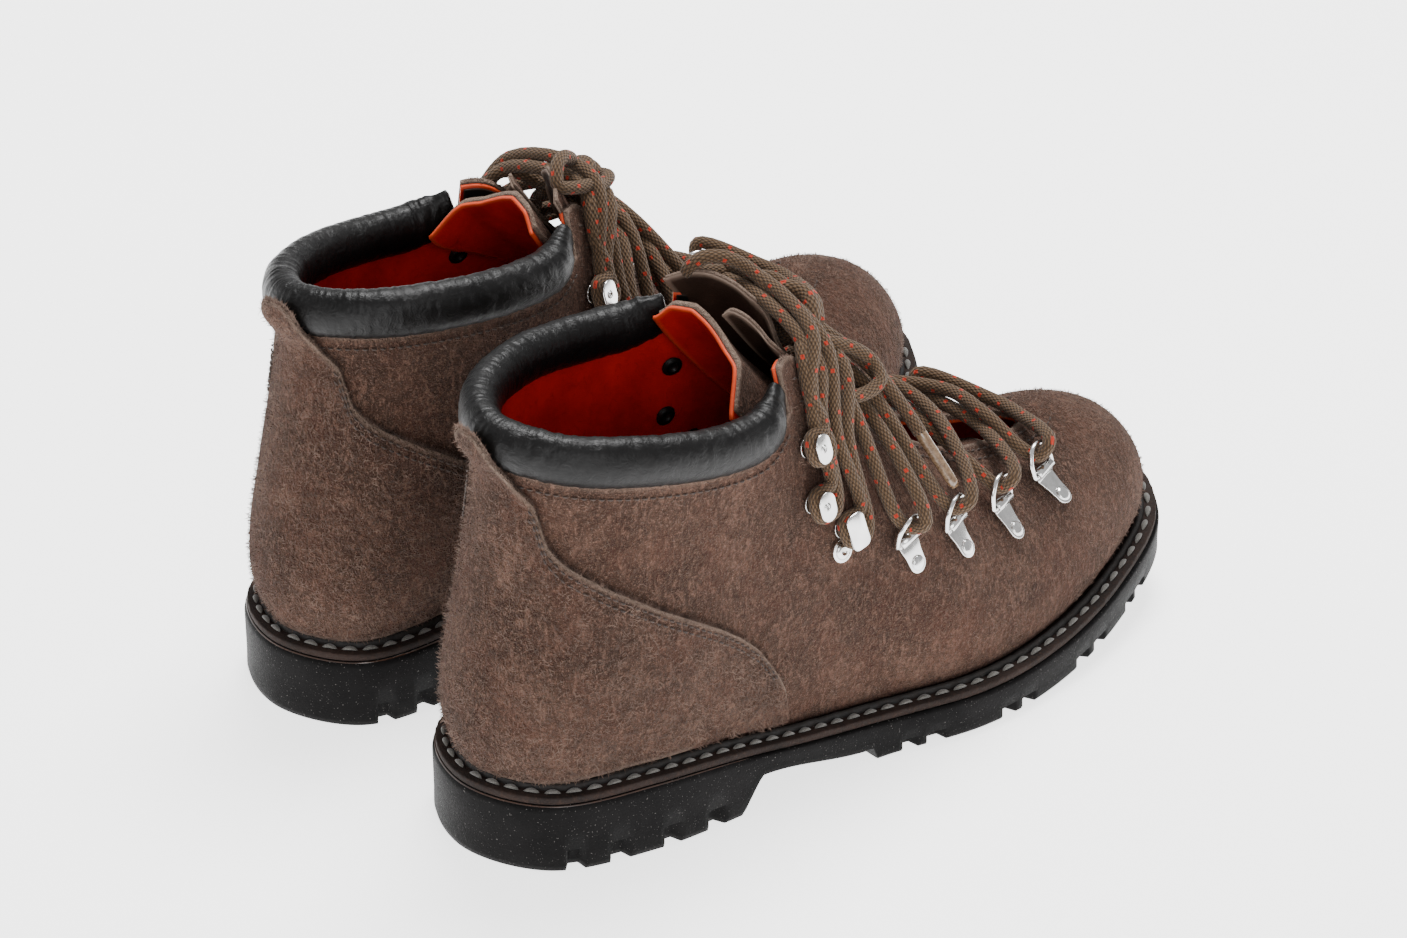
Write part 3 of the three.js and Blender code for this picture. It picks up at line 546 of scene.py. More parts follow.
def plate_piece(outline, low, thick, bevel=0.2):
    """A flat plate with rounded edges from its outline, lying in X and Y."""
    bm = bmesh.new()
    verts = [bm.verts.new((x, y, low)) for x, y in outline]
    face = bm.faces.new(verts)
    made = bmesh.ops.extrude_face_region(bm, geom=[face])
    moved = [g for g in made["geom"] if isinstance(g, bmesh.types.BMVert)]
    bmesh.ops.translate(bm, vec=(0, 0, thick), verts=moved)
    outward(bm)
    rims = [e for e in bm.edges if e.calc_face_angle(0) > 1.2]
    bmesh.ops.bevel(bm, geom=rims, offset=bevel, segments=2, profile=0.5, affect='EDGES', material=-1)
    return bm


def arc(cx, cy, r, start, stop, count):
    return [(cx + r * math.cos(math.radians(mix(start, stop, k / count))),
             cy + r * math.sin(math.radians(mix(start, stop, k / count)))) for k in range(count + 1)]


def dome(radius, height, at, hole=0.0):
    """A rivet head: its profile turned about Z."""
    profile = [(radius, 0), (radius * 1.02, height * 0.25)]
    profile += [(radius * 0.88, height * 0.7), (radius * 0.5, height)]
    if hole:
        profile += [(hole * 1.25, height * 0.98), (hole, height * 0.8), (hole * 0.85, height * 0.1)]
    profile += [(0.001, height * 0.1 if hole else height * 1.06)]
    bm = bmesh.new()
    verts = [bm.verts.new((x, 0, z)) for x, z in profile]
    edges = [bm.edges.new(pair) for pair in zip(verts, verts[1:])]
    bmesh.ops.spin(bm, geom=verts + edges, cent=(0, 0, 0), axis=(0, 0, 1), angle=2 * math.pi, steps=20,
                   use_merge=True)
    bmesh.ops.remove_doubles(bm, verts=bm.verts, dist=0.01)
    bmesh.ops.holes_fill(bm, edges=[e for e in bm.edges if e.is_boundary], sides=40)
    outward(bm)
    bmesh.ops.translate(bm, vec=at, verts=bm.verts)
    return bm


def clip_piece():
    under = 1.0 - RING["hinge"]
    outline = arc(0, -10.3, 3.5, 180, 360, 12) + [(3.7, -6.5), (4.7, -1.4), (-4.7, -1.4), (-3.7, -6.5)]
    plate = plate_piece(outline, under, 1.1)
    fold = bmesh.new()
    ring = [fold.verts.new((-4.8, 2.15 * math.cos(a), 2.15 * math.sin(a)))
            for a in (math.radians(mix(-160, 120, k / 14)) for k in range(15))]
    for pair in zip(ring, ring[1:]):
        fold.edges.new(pair)
    made = bmesh.ops.extrude_edge_only(fold, edges=fold.edges[:])
    far = [g for g in made["geom"] if isinstance(g, bmesh.types.BMVert)]
    bmesh.ops.translate(fold, vec=(9.6, 0, 0), verts=far)
    outward(fold)
    bmesh.ops.solidify(fold, geom=fold.faces[:], thickness=0.8)
    outward(fold)
    rivet = dome(2.7, 1.1, (0, -10.2, under + 1.05), hole=0)
    return joined([(plate, Matrix()), (fold, Matrix()), (rivet, Matrix())])


def ring_piece():
    w, r = RING["half"], RING["reach"]
    half = [(0.2, 0), (3.4, 0), (w - 0.9, 0), (w - 0.12, 0.4), (w, 1.6), (w, 3.6)]
    turns = [math.radians(a) for a in (20, 40, 58, 75)]
    half += [(w * math.cos(t), 3.6 + (r - 3.6) * math.sin(t)) for t in turns]
    points = half + [(0, r)] + [(-x, y) for x, y in reversed(half)]
    return tube(open_curve([(x, y, 0) for x, y in points], 3), RING["wire"], 12)


def hook_piece(lock):
    low = 1.0
    parts = []
    if lock:
        face = arc(3.1, 4.2, 2.4, 0, 90, 4) + arc(0.2, 4.2, 2.4, 90, 180, 4)
        face += arc(0.2, -4.2, 2.4, 180, 270, 4) + arc(3.1, -4.2, 2.4, 270, 360, 4)
    else:
        face = arc(2.3, 1.6, 3.7, 0, 180, 12) + arc(2.3, -1.6, 3.7, 180, 360, 12)
    parts.append((plate_piece(face, low + 6.6, 1.1, 0.35), Matrix()))
    parts.append((box_piece((1.6, 4.6, 6.6), (-0.2, 0, low + 3.8), 0.4), Matrix()))
    base = arc(2.4, 0, 3.6, 0, 360, 20)[:-1]
    parts.append((plate_piece(base, low - 0.2, 0.9), Matrix()))
    if lock:
        for side in (-1, 1):
            lobe = arc(side * 3.9 + 1.5, -7.2, 4.1, 0, 360, 20)[:-1]
            parts.append((plate_piece(lobe, low - 0.1, 1.0), Matrix()))
            parts.append((dome(3.0, 1.0, (side * 3.9 + 1.5, -7.2, low + 0.85), hole=1.1), Matrix()))
        parts.append((box_piece((6.0, 6.0, 0.9), (1.2, -3.6, low + 0.4), 0.25), Matrix()))
    else:
        parts.append((dome(1.5, 0.5, (2.9, 0.4, low + 7.65), hole=0.7), Matrix()))
    return joined(parts)


for side, side_name in ((1, "outer"), (-1, "inner")):
    for level in range(4):
        place = seat(ring_place(level, side)) @ Matrix.Translation((0, 0, RING["hinge"]))
        both_feet(f"clip_{side_name}_{level + 1}", joined([(clip_piece(), place)]), NICKEL,
                  stands_for=[f"clip_{side_name}_{level + 1}"])
        both_feet(f"ring_{side_name}_{level + 1}",
                  joined([(ring_piece(), place @ Matrix.Rotation(RING["tilt"], 4, 'X'))]), NICKEL,
                  body="ring_{foot}" + f"_{side_name}_{level + 1}",
                  stands_for=[f"d_ring_{side_name}_{level + 1}"])
    hooks = []
    for k, (station, up) in enumerate(HOOK_PLACES):
        place = fitting(station, up, side)
        toward = place["rear"].dot(place["up"].cross(place["out"])) > 0
        turn = Matrix() if toward else Matrix.Diagonal((-1, 1, 1, 1))
        piece = joined([(hook_piece(k == 0), seat(place) @ turn)])
        if not toward:
            bmesh.ops.reverse_faces(piece, faces=piece.faces)
        hooks.append((piece, Matrix()))
    both_feet(f"hooks_{side_name}", joined(hooks), NICKEL, stands_for=[f"hooks_{side_name}"])

# ---------------------------------------------------------------- laces
# One round braided cord, from the lowest pair of rings up through every ring and behind every hook,
# crossing on the tongue at each step, to the knot. It is pulled tight over the edges of the throat.
LACE_PATH = {"low": 5.4, "high": 10.2}
EDGE_STATIONS = [7.45, 6.45, 5.8, 5.0, 4.7, 4.4, 4.15]


def local(place, across, up, out):
    return place["point"] + place["rear"] * across + place["up"] * up + place["out"] * out


def through_ring(level, side):
    place = ring_place(level, side)
    arc_up = math.cos(RING["tilt"]) * RING["reach"]
    arc_out = RING["hinge"] + math.sin(RING["tilt"]) * RING["reach"]
    points = []
    for angle, across in ((90, -2.4), (180, 0), (270, 2.4)):
        turned = math.radians(angle) + RING["tilt"]
        rise, lift = 4.3 * math.cos(turned), 4.3 * math.sin(turned)
        points.append(local(place, across, arc_up + rise, arc_out + lift))
    return points


def round_hook(level, side):
    station, up = HOOK_PLACES[level]
    place = fitting(station, up, side)
    r = 4.6
    return [local(place, across, rise, 4.8)
            for across, rise in ((-4, -r), (r * 0.75, -r * 0.85), (r * 0.75, r * 0.85), (-4, r))]


def over_edge(station, side, height):
    edge = skin(side * station / STATIONS, 1)
    slope = clamp((edge.y - 120) / 80)
    lift = Vector((0, mix(0.75, 0.3, slope), mix(0.66, 0.95, slope))).normalized()
    return edge + lift * height


def over_shoulder(level, side, edge_station):
    station, up = HOOK_PLACES[level]
    middle = side * mix(station, edge_station, 0.5) / STATIONS
    return skin_offset(middle, mix(up, 1, 0.55), LACE_RADIUS + 1.2)


halves = []
for start in (1, -1):
    points, side = [], start
    height = LACE_PATH["high"] if start > 0 else LACE_PATH["low"]
    for level in range(4):
        points += through_ring(level, side)
        edge_station = EDGE_STATIONS[level + 1]
        points += [over_edge(edge_station, side, height), over_edge(edge_station, -side, height)]
        side = -side
    for level in range(3):
        last = level == 2
        points.append(over_shoulder(level, side, EDGE_STATIONS[level + 4]))
        points += round_hook(level, side)
        points.append(over_shoulder(level, side, EDGE_STATIONS[6 if last else level + 5]))
        if not last:
            points += [over_edge(EDGE_STATIONS[level + 5], side, height),
                       over_edge(EDGE_STATIONS[level + 5], -side, height)]
        side = -side
    side = -side
    points.append(over_edge(EDGE_STATIONS[6], side, LACE_PATH["low"] - 1))
    points.append(KNOT + Vector((7 * side, 0, -3)))
    halves.append(points)
bridge = [over_edge(EDGE_STATIONS[0], -1, 4.5), over_edge(EDGE_STATIONS[0], 1, 4.5)]
lace_line = open_curve(list(reversed(halves[1])) + bridge + halves[0], 7)
both_feet("lace", tube(lace_line, LACE_RADIUS, 14), LACE, stands_for=["lace"])

# ---------------------------------------------------------------- upper
# Thick rough-out suede in one piece from heel to toe, its flesh side outwards: a felted brown nap,
# long loose fibres, and pale raw cut edges round the throat.
UNDER_COLLAR = 3.72


def suede_material(name, dark, body, light, edge, depth=1.0):
    m = Maker(name)
    cloud = m.noise(22, 5, 0.7, distortion=0.8)
    blotch = m.noise(70, 6, 0.7, distortion=1.0)
    nap = m.noise(520, 4, 0.75)
    streak = m.noise(330, 3, 0.7, stretch=(1.0, 1.0, 0.45), distortion=1.5)
    pores = m.noise(1700, 2, 0.6)
    base = m.ramp(cloud, [(0.36, dark), (0.50, body), (0.66, light)])
    base = m.blend(m.ramp(blotch, [(0.35, 0.0), (0.7, 0.85)]), base, tuple(c * 0.50 for c in body))
    base = m.blend(m.ramp(streak, [(0.50, 0.0), (0.62, 0.65)]), base, light)
    base = m.blend(m.ramp(nap, [(0.42, 0.0), (0.60, 0.75)]), base, tuple(c * 0.40 for c in body))
    base = m.blend(m.ramp(pores, [(0.55, 0.0), (0.72, 0.5)]), base, tuple(min(1, c * 1.7) for c in light))
    red = m.ramp(m.noise(60, 3, 0.6), [(0.45, 0.0), (0.75, 0.35)])
    base = m.blend(red, base, (body[0] * 1.25, body[1] * 0.85, body[2] * 0.78))
    raw = m.attribute("raw_edge")
    base = m.blend(m.math('MULTIPLY', raw, 0.9), base, edge)
    m.color(base)
    m.rough(m.ramp(nap, [(0.3, 0.98), (0.7, 0.84)]))
    m.set(Sheen_Weight=0.12, Sheen_Roughness=0.5, Sheen_Tint=(0.80, 0.62, 0.52, 1), Specular_IOR_Level=0.12)
    coarse = m.bump(blotch, 0.7 * depth, 0.003)
    m.normal(m.bump(m.math('ADD', nap, m.math('MULTIPLY', streak, 0.8)), 1.0, 0.0022 * depth,
                    m.bump(pores, 0.7, 0.0006, coarse)))
    return m.material


EDGE = (0.250, 0.180, 0.140)
SUEDE = suede_material("brown_suede", (0.026, 0.0120, 0.0078), (0.082, 0.0410, 0.0275),
                       (0.190, 0.104, 0.074), EDGE)


def dented(point, out, amount, size, seed=0):
    """Small uneven waves in hide that has been shaped by hand."""
    return point + out * (amount * noise.noise(point / size + Vector((seed, 0, 0))))


def upper_top(u):
    station = abs(u - round(u)) * STATIONS
    return below_rim(u, 15.6) if station < UNDER_COLLAR else 1.0


def rib_columns(count, *breaks):
    """Columns evenly round the boot, a close pair at each break so that the cut there is sharp."""
    columns = [k / count for k in range(count)]
    for edge in breaks:
        columns += [edge - 0.0005, edge + 0.0005]
    columns = sorted(set(round(c % 1.0, 6) for c in columns))
    return columns + [columns[0] + 1.0]


UPPER_COLUMNS = rib_columns(260, UNDER_COLLAR / STATIONS, 1 - UNDER_COLLAR / STATIONS)


def skin_sheet(columns, rows, top, offset, bottom=0.0, amount=0.45, size=26.0):
    last = len(columns) - 1

    def point(a, b):
        u = columns[round(a * last)]
        v = mix(bottom, top(u), b)
        out = skin_frame(u, clamp(v, 0.002, 0.998))[3]
        return dented(skin(u, v) + out * offset, out, amount * math.sin(math.pi * clamp(v)), size)
    return shell(last, rows, point, wraps=True)


def raw_edges(bm, reach=2.0, where=lambda v: True):
    """Marks the nap near an open cut edge, for the pale raw colour there."""
    layer = bm.verts.layers.float.new("raw_edge")
    rim = [v.co.copy() for v in bm.verts if v.is_boundary and where(v.co)]
    from_rim = KDTree(len(rim))
    for k, co in enumerate(rim):
        from_rim.insert(co, k)
    from_rim.balance()
    for v in bm.verts:
        found = from_rim.find(v.co)
        v[layer] = clamp(1 - found[2] / reach) if found and found[2] is not None else 0.0
    return bm


def thicken(bm, thickness):
    bmesh.ops.solidify(bm, geom=bm.faces[:], thickness=thickness)
    return bm


upper = skin_sheet(UPPER_COLUMNS, 74, upper_top, 0.0)
raw_edges(upper, 2.2, lambda co: co.z > 60)
outward(upper)
thicken(upper, 1.9)
both_feet("upper", upper, SUEDE, stands_for=["upper"])

# ---------------------------------------------------------------- heel counter
# A second layer of the same suede round the heel, sewn close to its edge, that runs up into a pull
# tab bent back behind the collar. Its nap is rougher, with long fibres at the back.
COUNTER_EDGE = [
    (0, 0.998), (0.14, 0.992), (0.25, 0.962), (0.33, 0.92), (0.45, 0.875), (0.69, 0.835), (0.86, 0.745),
    (1.085, 0.70), (1.34, 0.66), (1.60, 0.616), (1.94, 0.558), (2.27, 0.495), (2.57, 0.433), (2.79, 0.378),
    (2.95, 0.325), (3.09, 0.255), (3.19, 0.19), (3.24, 0.12), (3.26, 0.04),
]
COUNTER_END = COUNTER_EDGE[-1][0]


def counter_top(station):
    reach = abs(station)
    for (a, low), (b, high) in zip(COUNTER_EDGE, COUNTER_EDGE[1:]):
        if reach <= b:
            return mix(low, high, (reach - a) / (b - a))
    return COUNTER_EDGE[-1][1]


def counter_offset(v):
    return 0.25 + 6.0 * smooth((v - 0.86) / 0.10)


def counter_point(a, b):
    station = COUNTER_END * math.copysign(abs(2 * a - 1) ** 1.15, 2 * a - 1)
    v = mix(0.03, counter_top(station), b)
    point, along, up, out = skin_frame(station / STATIONS, clamp(v, 0.002, 0.998))
    return dented(point + out * counter_offset(v), out, 0.35, 20, 4)


COUNTER_SUEDE = suede_material("counter_suede", (0.028, 0.0130, 0.0085), (0.086, 0.0440, 0.0300),
                               (0.200, 0.112, 0.080), EDGE, 1.25)
counter = shell(150, 64, counter_point)
raw_edges(counter, 2.2, lambda co: co.z > 30)
outward(counter)
bmesh.ops.reverse_faces(counter, faces=counter.faces)
thicken(counter, 1.7)
outward(counter)
both_feet("heel_counter", counter, COUNTER_SUEDE, stands_for=["heel_counter"])

# ---------------------------------------------------------------- sole
# Black rubber under the midsole: a heel, an arched waist and a forefoot, with the ends of the tread
# bars notched into the wall. The wall is lightly grained and dusted with pale specks.
NOTCHES = [20, 35, 54, 71, 152, 162, 192, 202, 231, 241, 262, 270]
NOTCH_HALF_WIDTH = 2.6
NOTCH_DEPTH = 4.0


def heel_side(y):
    """Height of the underside above the ground at a station, 0 under the heel and the forefoot."""
    if y < 83:
        return 0.0
    if y < 91:
        return mix(0, 12.5, (y - 83) / 8)
    return mix(12.5, 4.5, smooth((y - 91) / 48)) if y < 139 else 0.0


def rubber_material():
    m = Maker("black_rubber")
    cloud = m.noise(70, 4, 0.6)
    grain = m.noise(1500, 3, 0.6)
    speck = m.noise(1900, 1, 0.4)
    base = m.ramp(cloud, [(0.3, (0.0028, 0.0026, 0.0026)), (0.7, (0.0065, 0.006, 0.006))])
    base = m.blend(m.ramp(speck, [(0.72, 0.0), (0.75, 0.6)]), base, (0.16, 0.15, 0.14))
    m.color(base)
    m.rough(m.ramp(grain, [(0.3, 0.42), (0.7, 0.62)]))
    m.set(Specular_IOR_Level=0.06)
    m.normal(m.bump(grain, 0.5, 0.00025, m.bump(cloud, 0.25, 0.0006)))
    return m.material


RUBBER = rubber_material()
SOLE_COUNT = 480


def notched(y):
    return any(abs(y - at) < NOTCH_HALF_WIDTH for at in NOTCHES)


def sole_wall():
    """The side wall ring by ring, its notched foot turned under to meet the ground."""
    levels = [(0.0, 1.6), (0.02, 0.5), (0.10, 0.0), (0.31, 0.1), (0.335, 0.1), (0.62, 0.0),
              (0.90, -0.1), (0.97, 0.25), (1.0, 1.3)]
    bm = bmesh.new()
    rings = []
    for share, inset in levels:
        ring = []
        for k in range(SOLE_COUNT):
            u = k / SOLE_COUNT
            at = edge_point(u, 0)
            low = heel_side(at.y) + spring(at.y)
            high = wall_top(at.y)
            cut = NOTCH_DEPTH if share < 0.32 and notched(at.y) else 0.0
            p = edge_point(u, inset + cut)
            ring.append(bm.verts.new((p.x, p.y, mix(low, high, share))))
        rings.append(ring)
    for low, high in zip(rings, rings[1:]):
        for k in range(SOLE_COUNT):
            n = (k + 1) % SOLE_COUNT
            bm.faces.new((low[k], low[n], high[n], high[k]))
    return bm, rings


def fill_flat(bm, ring):
    """Closes a ring of the sole straight across, point to mirrored point."""
    count = len(ring)
    half = count // 2
    bm.faces.new((ring[0], ring[1], ring[count - 1]))
    for k in range(1, half - 1):
        bm.faces.new((ring[k], ring[k + 1], ring[count - k - 1], ring[count - k]))
    bm.faces.new((ring[half - 1], ring[half], ring[half + 1]))


sole_mesh, wall_rings = sole_wall()
fill_flat(sole_mesh, wall_rings[0])
fill_flat(sole_mesh, wall_rings[-1])
outward(sole_mesh)
both_feet("outsole", sole_mesh, RUBBER, stands_for=["outsole"])

# ---------------------------------------------------------------- midsole
# A thin leather layer between rubber and welt, its cut edge burnished to a glossy brown line.
def strap(inset_out, inset_in, low, high, round_over=0.3, count=SOLE_COUNT, wave=0.0):
    """A flat band that follows the sole's edge, with rounded corners."""
    section = [(inset_in, low), (inset_out + round_over, low), (inset_out, low + round_over),
               (inset_out, high - round_over), (inset_out + round_over, high), (inset_in, high)]
    bm = bmesh.new()
    rings = []
    for inset, up in section:
        ring = []
        for k in range(count):
            u = k / count
            ragged = wave * noise.noise(Vector((u * 260, inset * 0.7, up * 2))) if up > high - 0.5 else 0.0
            p = edge_point(u, inset + ragged)
            ring.append(bm.verts.new((p.x, p.y, wall_top(p.y) + up)))
        rings.append(ring)
    for a, b in zip(rings, rings[1:] + rings[:1]):
        for k in range(count):
            n = (k + 1) % count
            bm.faces.new((a[k], a[n], b[n], b[k]))
    outward(bm)
    return bm


def brown_edge_material():
    m = Maker("burnished_edge")
    layers = m.noise(300, 3, 0.6, stretch=(1, 1, 8))
    wear = m.noise(50, 4, 0.6)
    base = m.ramp(layers, [(0.3, (0.026, 0.011, 0.006)), (0.7, (0.060, 0.026, 0.014))])
    m.color(m.blend(m.ramp(wear, [(0.4, 0.0), (0.7, 0.6)]), base, (0.015, 0.007, 0.005)))
    m.rough(m.ramp(wear, [(0.3, 0.22), (0.7, 0.42)]))
    m.set(Coat_Weight=0.35, Coat_Roughness=0.2)
    m.normal(m.bump(layers, 0.35, 0.0002))
    return m.material


both_feet("midsole", strap(0.6, 40, -2.7, -0.2), brown_edge_material(),
          stands_for=["midsole"])

# ---------------------------------------------------------------- welt
# A storm welt sewn round the upper with thick pale thread in two rows, one of them drawn: a dark
# leather strap with a raised ragged bead against the upper and leaf-shaped stitches lying in its channel.


def welt_material():
    m = Maker("dark_welt_leather")
    cloud = m.noise(60, 4, 0.6)
    grain = m.noise(700, 4, 0.7)
    base = m.ramp(cloud, [(0.3, (0.007, 0.004, 0.003)), (0.7, (0.022, 0.012, 0.009))])
    base = m.blend(m.ramp(grain, [(0.5, 0.0), (0.7, 0.5)]), base, (0.050, 0.030, 0.022))
    m.color(base)
    m.rough(m.ramp(grain, [(0.3, 0.62), (0.7, 0.86)]))
    m.set(Specular_IOR_Level=0.2)
    m.normal(m.bump(grain, 0.9, 0.0005, m.bump(cloud, 0.4, 0.0008)))
    return m.material


WELT = welt_material()
both_feet("welt", strap(1.0, 14, 0.1, 2.8, 0.35, wave=0.25), WELT, stands_for=["welt"])


def bead_mesh():
    """The storm bead, a ragged roll that leans on the upper."""
    bm = bmesh.new()
    rings = []
    for k in range(720):
        u = k / 720
        ring = []
        for step in range(8):
            angle = 2 * math.pi * step / 8
            rough = 1 + 0.22 * noise.noise(Vector((u * 190, step * 0.8, 3)))
            p = edge_point(u, 6.6 - 1.35 * math.cos(angle) * rough)
            ring.append(bm.verts.new((p.x, p.y, wall_top(p.y) + 3.1 + 1.75 * math.sin(angle) * rough)))
        rings.append(ring)
    for a, b in zip(rings, rings[1:] + rings[:1]):
        for k in range(8):
            n = (k + 1) % 8
            bm.faces.new((a[k], a[n], b[n], b[k]))
    outward(bm)
    return bm


def bead_leather():
    m = Maker("black_bead_leather")
    grain = m.noise(420, 4, 0.7)
    m.color(m.ramp(grain, [(0.35, (0.0035, 0.003, 0.0028)), (0.72, (0.016, 0.011, 0.009))]))
    m.rough(m.ramp(grain, [(0.3, 0.55), (0.7, 0.85)]))
    m.normal(m.bump(grain, 0.9, 0.0006))
    return m.material


both_feet("storm_bead", bead_mesh(), bead_leather())


def thread_material():
    m = Maker("pale_thread")
    twist = m.noise(1500, 2, 0.5, stretch=(1, 4, 1))
    m.color(m.ramp(twist, [(0.35, (0.055, 0.052, 0.046)), (0.65, (0.150, 0.142, 0.128))]))
    m.rough(m.ramp(twist, [(0.3, 0.6), (0.7, 0.9)]))
    m.set(Sheen_Weight=0.3, Sheen_Roughness=0.5)
    m.normal(m.bump(twist, 0.7, 0.0003))
    return m.material


THREAD = thread_material()


def stitch_line(path, pitch, long, wide, high, lift):
    """Thick stitches with pointed ends, laid one after another along a path of (point, out)."""
    whole = bmesh.new()
    run, at = 0.0, pitch / 2
    for (a, out_a), (b, out_b) in zip(path, path[1:]):
        span = (b - a).length
        while at <= run + span and span > 0:
            t = (at - run) / span
            p = a.lerp(b, t)
            out = out_a.lerp(out_b, t).normalized()
            way = (b - a).normalized()
            across = out.cross(way).normalized()
            rings = []
            for k in range(9):
                s = k / 8
                fat = math.sin(math.pi * s) ** 0.65
                middle = p + way * ((s - 0.5) * long) + out * (lift + high * 0.55 * math.sin(math.pi * s))
                ring = []
                for j in range(8):
                    angle = 2 * math.pi * j / 8
                    ring.append(whole.verts.new(middle + across * (math.cos(angle) * wide / 2 * fat + 0.001)
                                                + out * (math.sin(angle) * high / 2 * fat)))
                rings.append(ring)
            for x, y in zip(rings, rings[1:]):
                for j in range(8):
                    n = (j + 1) % 8
                    whole.faces.new((x[j], x[n], y[n], y[j]))
            whole.faces.new(rings[0][::-1])
            whole.faces.new(rings[-1])
            at += pitch
        run += span
    outward(whole)
    return whole


welt_seam = []
for k in range(601):
    p = edge_point(k / 600, 3.9)
    welt_seam.append((Vector((p.x, p.y, wall_top(p.y) + 2.75)), Vector((0, 0, 1))))
both_feet("welt_stitches", stitch_line(welt_seam, 7.0, 5.6, 2.0, 1.3, 0.15), THREAD)

# ---------------------------------------------------------------- insole
# The leather board the foot stands on, dark and worn, set inside the upper on the welt.


def smooth_leather(name, dark, light, edge, rough=(0.32, 0.5), crease=0.5, coat=0.0):
    m = Maker(name)
    cloud = m.noise(45, 4, 0.6)
    pores = m.noise(1100, 3, 0.65)
    lines = m.noise(240, 4, 0.7, distortion=1.4)
    wear = m.noise(22, 3, 0.5)
    base = m.ramp(cloud, [(0.3, dark), (0.72, light)])
    base = m.blend(m.ramp(lines, [(0.55, 0.0), (0.72, 0.45)]), base, tuple(c * 0.55 for c in dark))
    base = m.blend(m.ramp(wear, [(0.5, 0.0), (0.8, 0.35)]), base, tuple(min(1, c * 1.5) for c in light))
    m.color(m.blend(m.math('MULTIPLY', m.attribute("raw_edge"), 0.95), base, edge))
    m.rough(m.ramp(m.math('ADD', m.math('MULTIPLY', pores, 0.5), m.math('MULTIPLY', wear, 0.5)),
                   [(0.3, rough[0]), (0.7, rough[1])]))
    m.set(Specular_IOR_Level=0.20, Coat_Weight=coat, Coat_Roughness=0.3)
    m.normal(m.bump(pores, 0.35, 0.0002, m.bump(lines, crease, 0.0005)))
    return m.material


INSOLE = smooth_leather("insole_leather", (0.020, 0.012, 0.008), (0.060, 0.034, 0.022),
                        (0.10, 0.06, 0.04), (0.5, 0.8))
insole_board = strap(15.5, 40, 3.2, 5.7, 0.5, count=160)
both_feet("insole", insole_board, INSOLE, stands_for=["insole"])

# ---------------------------------------------------------------- lining
# Orange-red calf sewn inside the upper from the insole to the collar, its cut edge a clear orange.
# A narrow strip of black facing runs along the top of the throat; the hook rivets show inside.


def lining_top(u):
    station = abs(u - round(u)) * STATIONS
    return below_rim(u, 12.0) if station < UNDER_COLLAR else 0.996


RED = smooth_leather("red_lining", (0.26, 0.0060, 0.0050), (0.50, 0.0130, 0.0080),
                     (0.62, 0.070, 0.020), (0.42, 0.62), 0.35)
lining = skin_sheet(UPPER_COLUMNS, 60, lining_top, -2.1, 0.03, 0.3)
raw_edges(lining, 1.2, lambda co: co.z > 60)
outward(lining)
thicken(lining, 1.2)
both_feet("lining", lining, RED, stands_for=["lining"])


def skin_patch(from_station, to_station, bottom, top, offset, thickness, columns=40, rows=30):
    """A thin layer on the upper or the lining between two stations."""
    def point(a, b):
        station = mix(from_station, to_station, a)
        v = mix(bottom(station), top(station), b)
        return skin_offset(station / STATIONS, v, offset)
    patch = shell(columns, rows, point)
    raw_edges(patch, 0.8)
    outward(patch)
    thicken(patch, thickness)
    return outward(patch)


BLACK = smooth_leather("black_leather", (0.003, 0.003, 0.003), (0.008, 0.0075, 0.0075),
                       (0.03, 0.02, 0.015), (0.30, 0.46), 0.45)
EYELET_BACK = dome(3.6, 0.9, (0, 0, 0), hole=1.7)
for side in (1, -1):
    name = "outer" if side > 0 else "inner"
    facing = skin_patch(3.76 * side, 4.75 * side, lambda t: 0.93, lambda t: 0.99, -3.5, 0.6)
    both_feet(f"facing_{name}", facing, BLACK)
    backs = []
    for station, up in HOOK_PLACES:
        place = fitting(station - 0.22, up, side)
        place["point"] = place["point"] - place["out"] * 4.0
        back = EYELET_BACK.copy()
        bmesh.ops.transform(back, matrix=seat(place) @ Matrix.Rotation(math.pi, 4, 'X'), verts=back.verts)
        backs.append((back, Matrix()))
    both_feet(f"hook_backs_{name}", joined(backs), BLACK)

# ---------------------------------------------------------------- collar
# A padded roll of soft black leather round the ankle, foam inside, sewn to the upper's top edge; it
# is pinched flat at its two front ends and puckers finely where the thread draws it in.
COLLAR_END = UNDER_COLLAR / STATIONS - 0.004


def collar_point(a, b):
    u = mix(-COLLAR_END, COLLAR_END, a)
    v = below_rim(u, 8.6)
    middle = skin_offset(u, v, -2.5)
    ahead = skin_offset(u + 2e-3, below_rim(u + 2e-3, 8.6), -2.5)
    behind = skin_offset(u - 2e-3, below_rim(u - 2e-3, 8.6), -2.5)
    along = (ahead - behind).normalized()
    out = skin_frame(u, v)[3]
    level = Vector((out.x, out.y, 0))
    level = (level - along * level.dot(along)).normalized()
    upright = level.cross(along).normalized()
    angle = 2 * math.pi * b
    near_end = 1 - min(a, 1 - a) / 0.10
    pinch = 1 - 0.55 * smooth(near_end) ** 2 - (0.42 if min(a, 1 - a) < 1e-6 else 0)
    swell = 1 + 0.05 * noise.noise(Vector((u * 26, math.cos(angle), math.sin(angle))))
    pucker = noise.noise(Vector((u * 420, math.cos(angle) * 0.7, math.sin(angle) * 0.7)))
    crease = noise.noise(Vector((u * 150 + math.sin(angle) * 1.5, 7, math.cos(angle))))
    depth = 0.30 * pucker * (0.35 + 0.65 * abs(math.sin(angle)))
    depth += 0.55 * crease * (0.3 + 0.9 * clamp(near_end))
    across = (6.8 * pinch * swell + depth) * math.cos(angle)
    rise = (8.6 * mix(1, pinch, 0.35) * swell + depth) * math.sin(angle)
    return middle + level * across - upright * rise


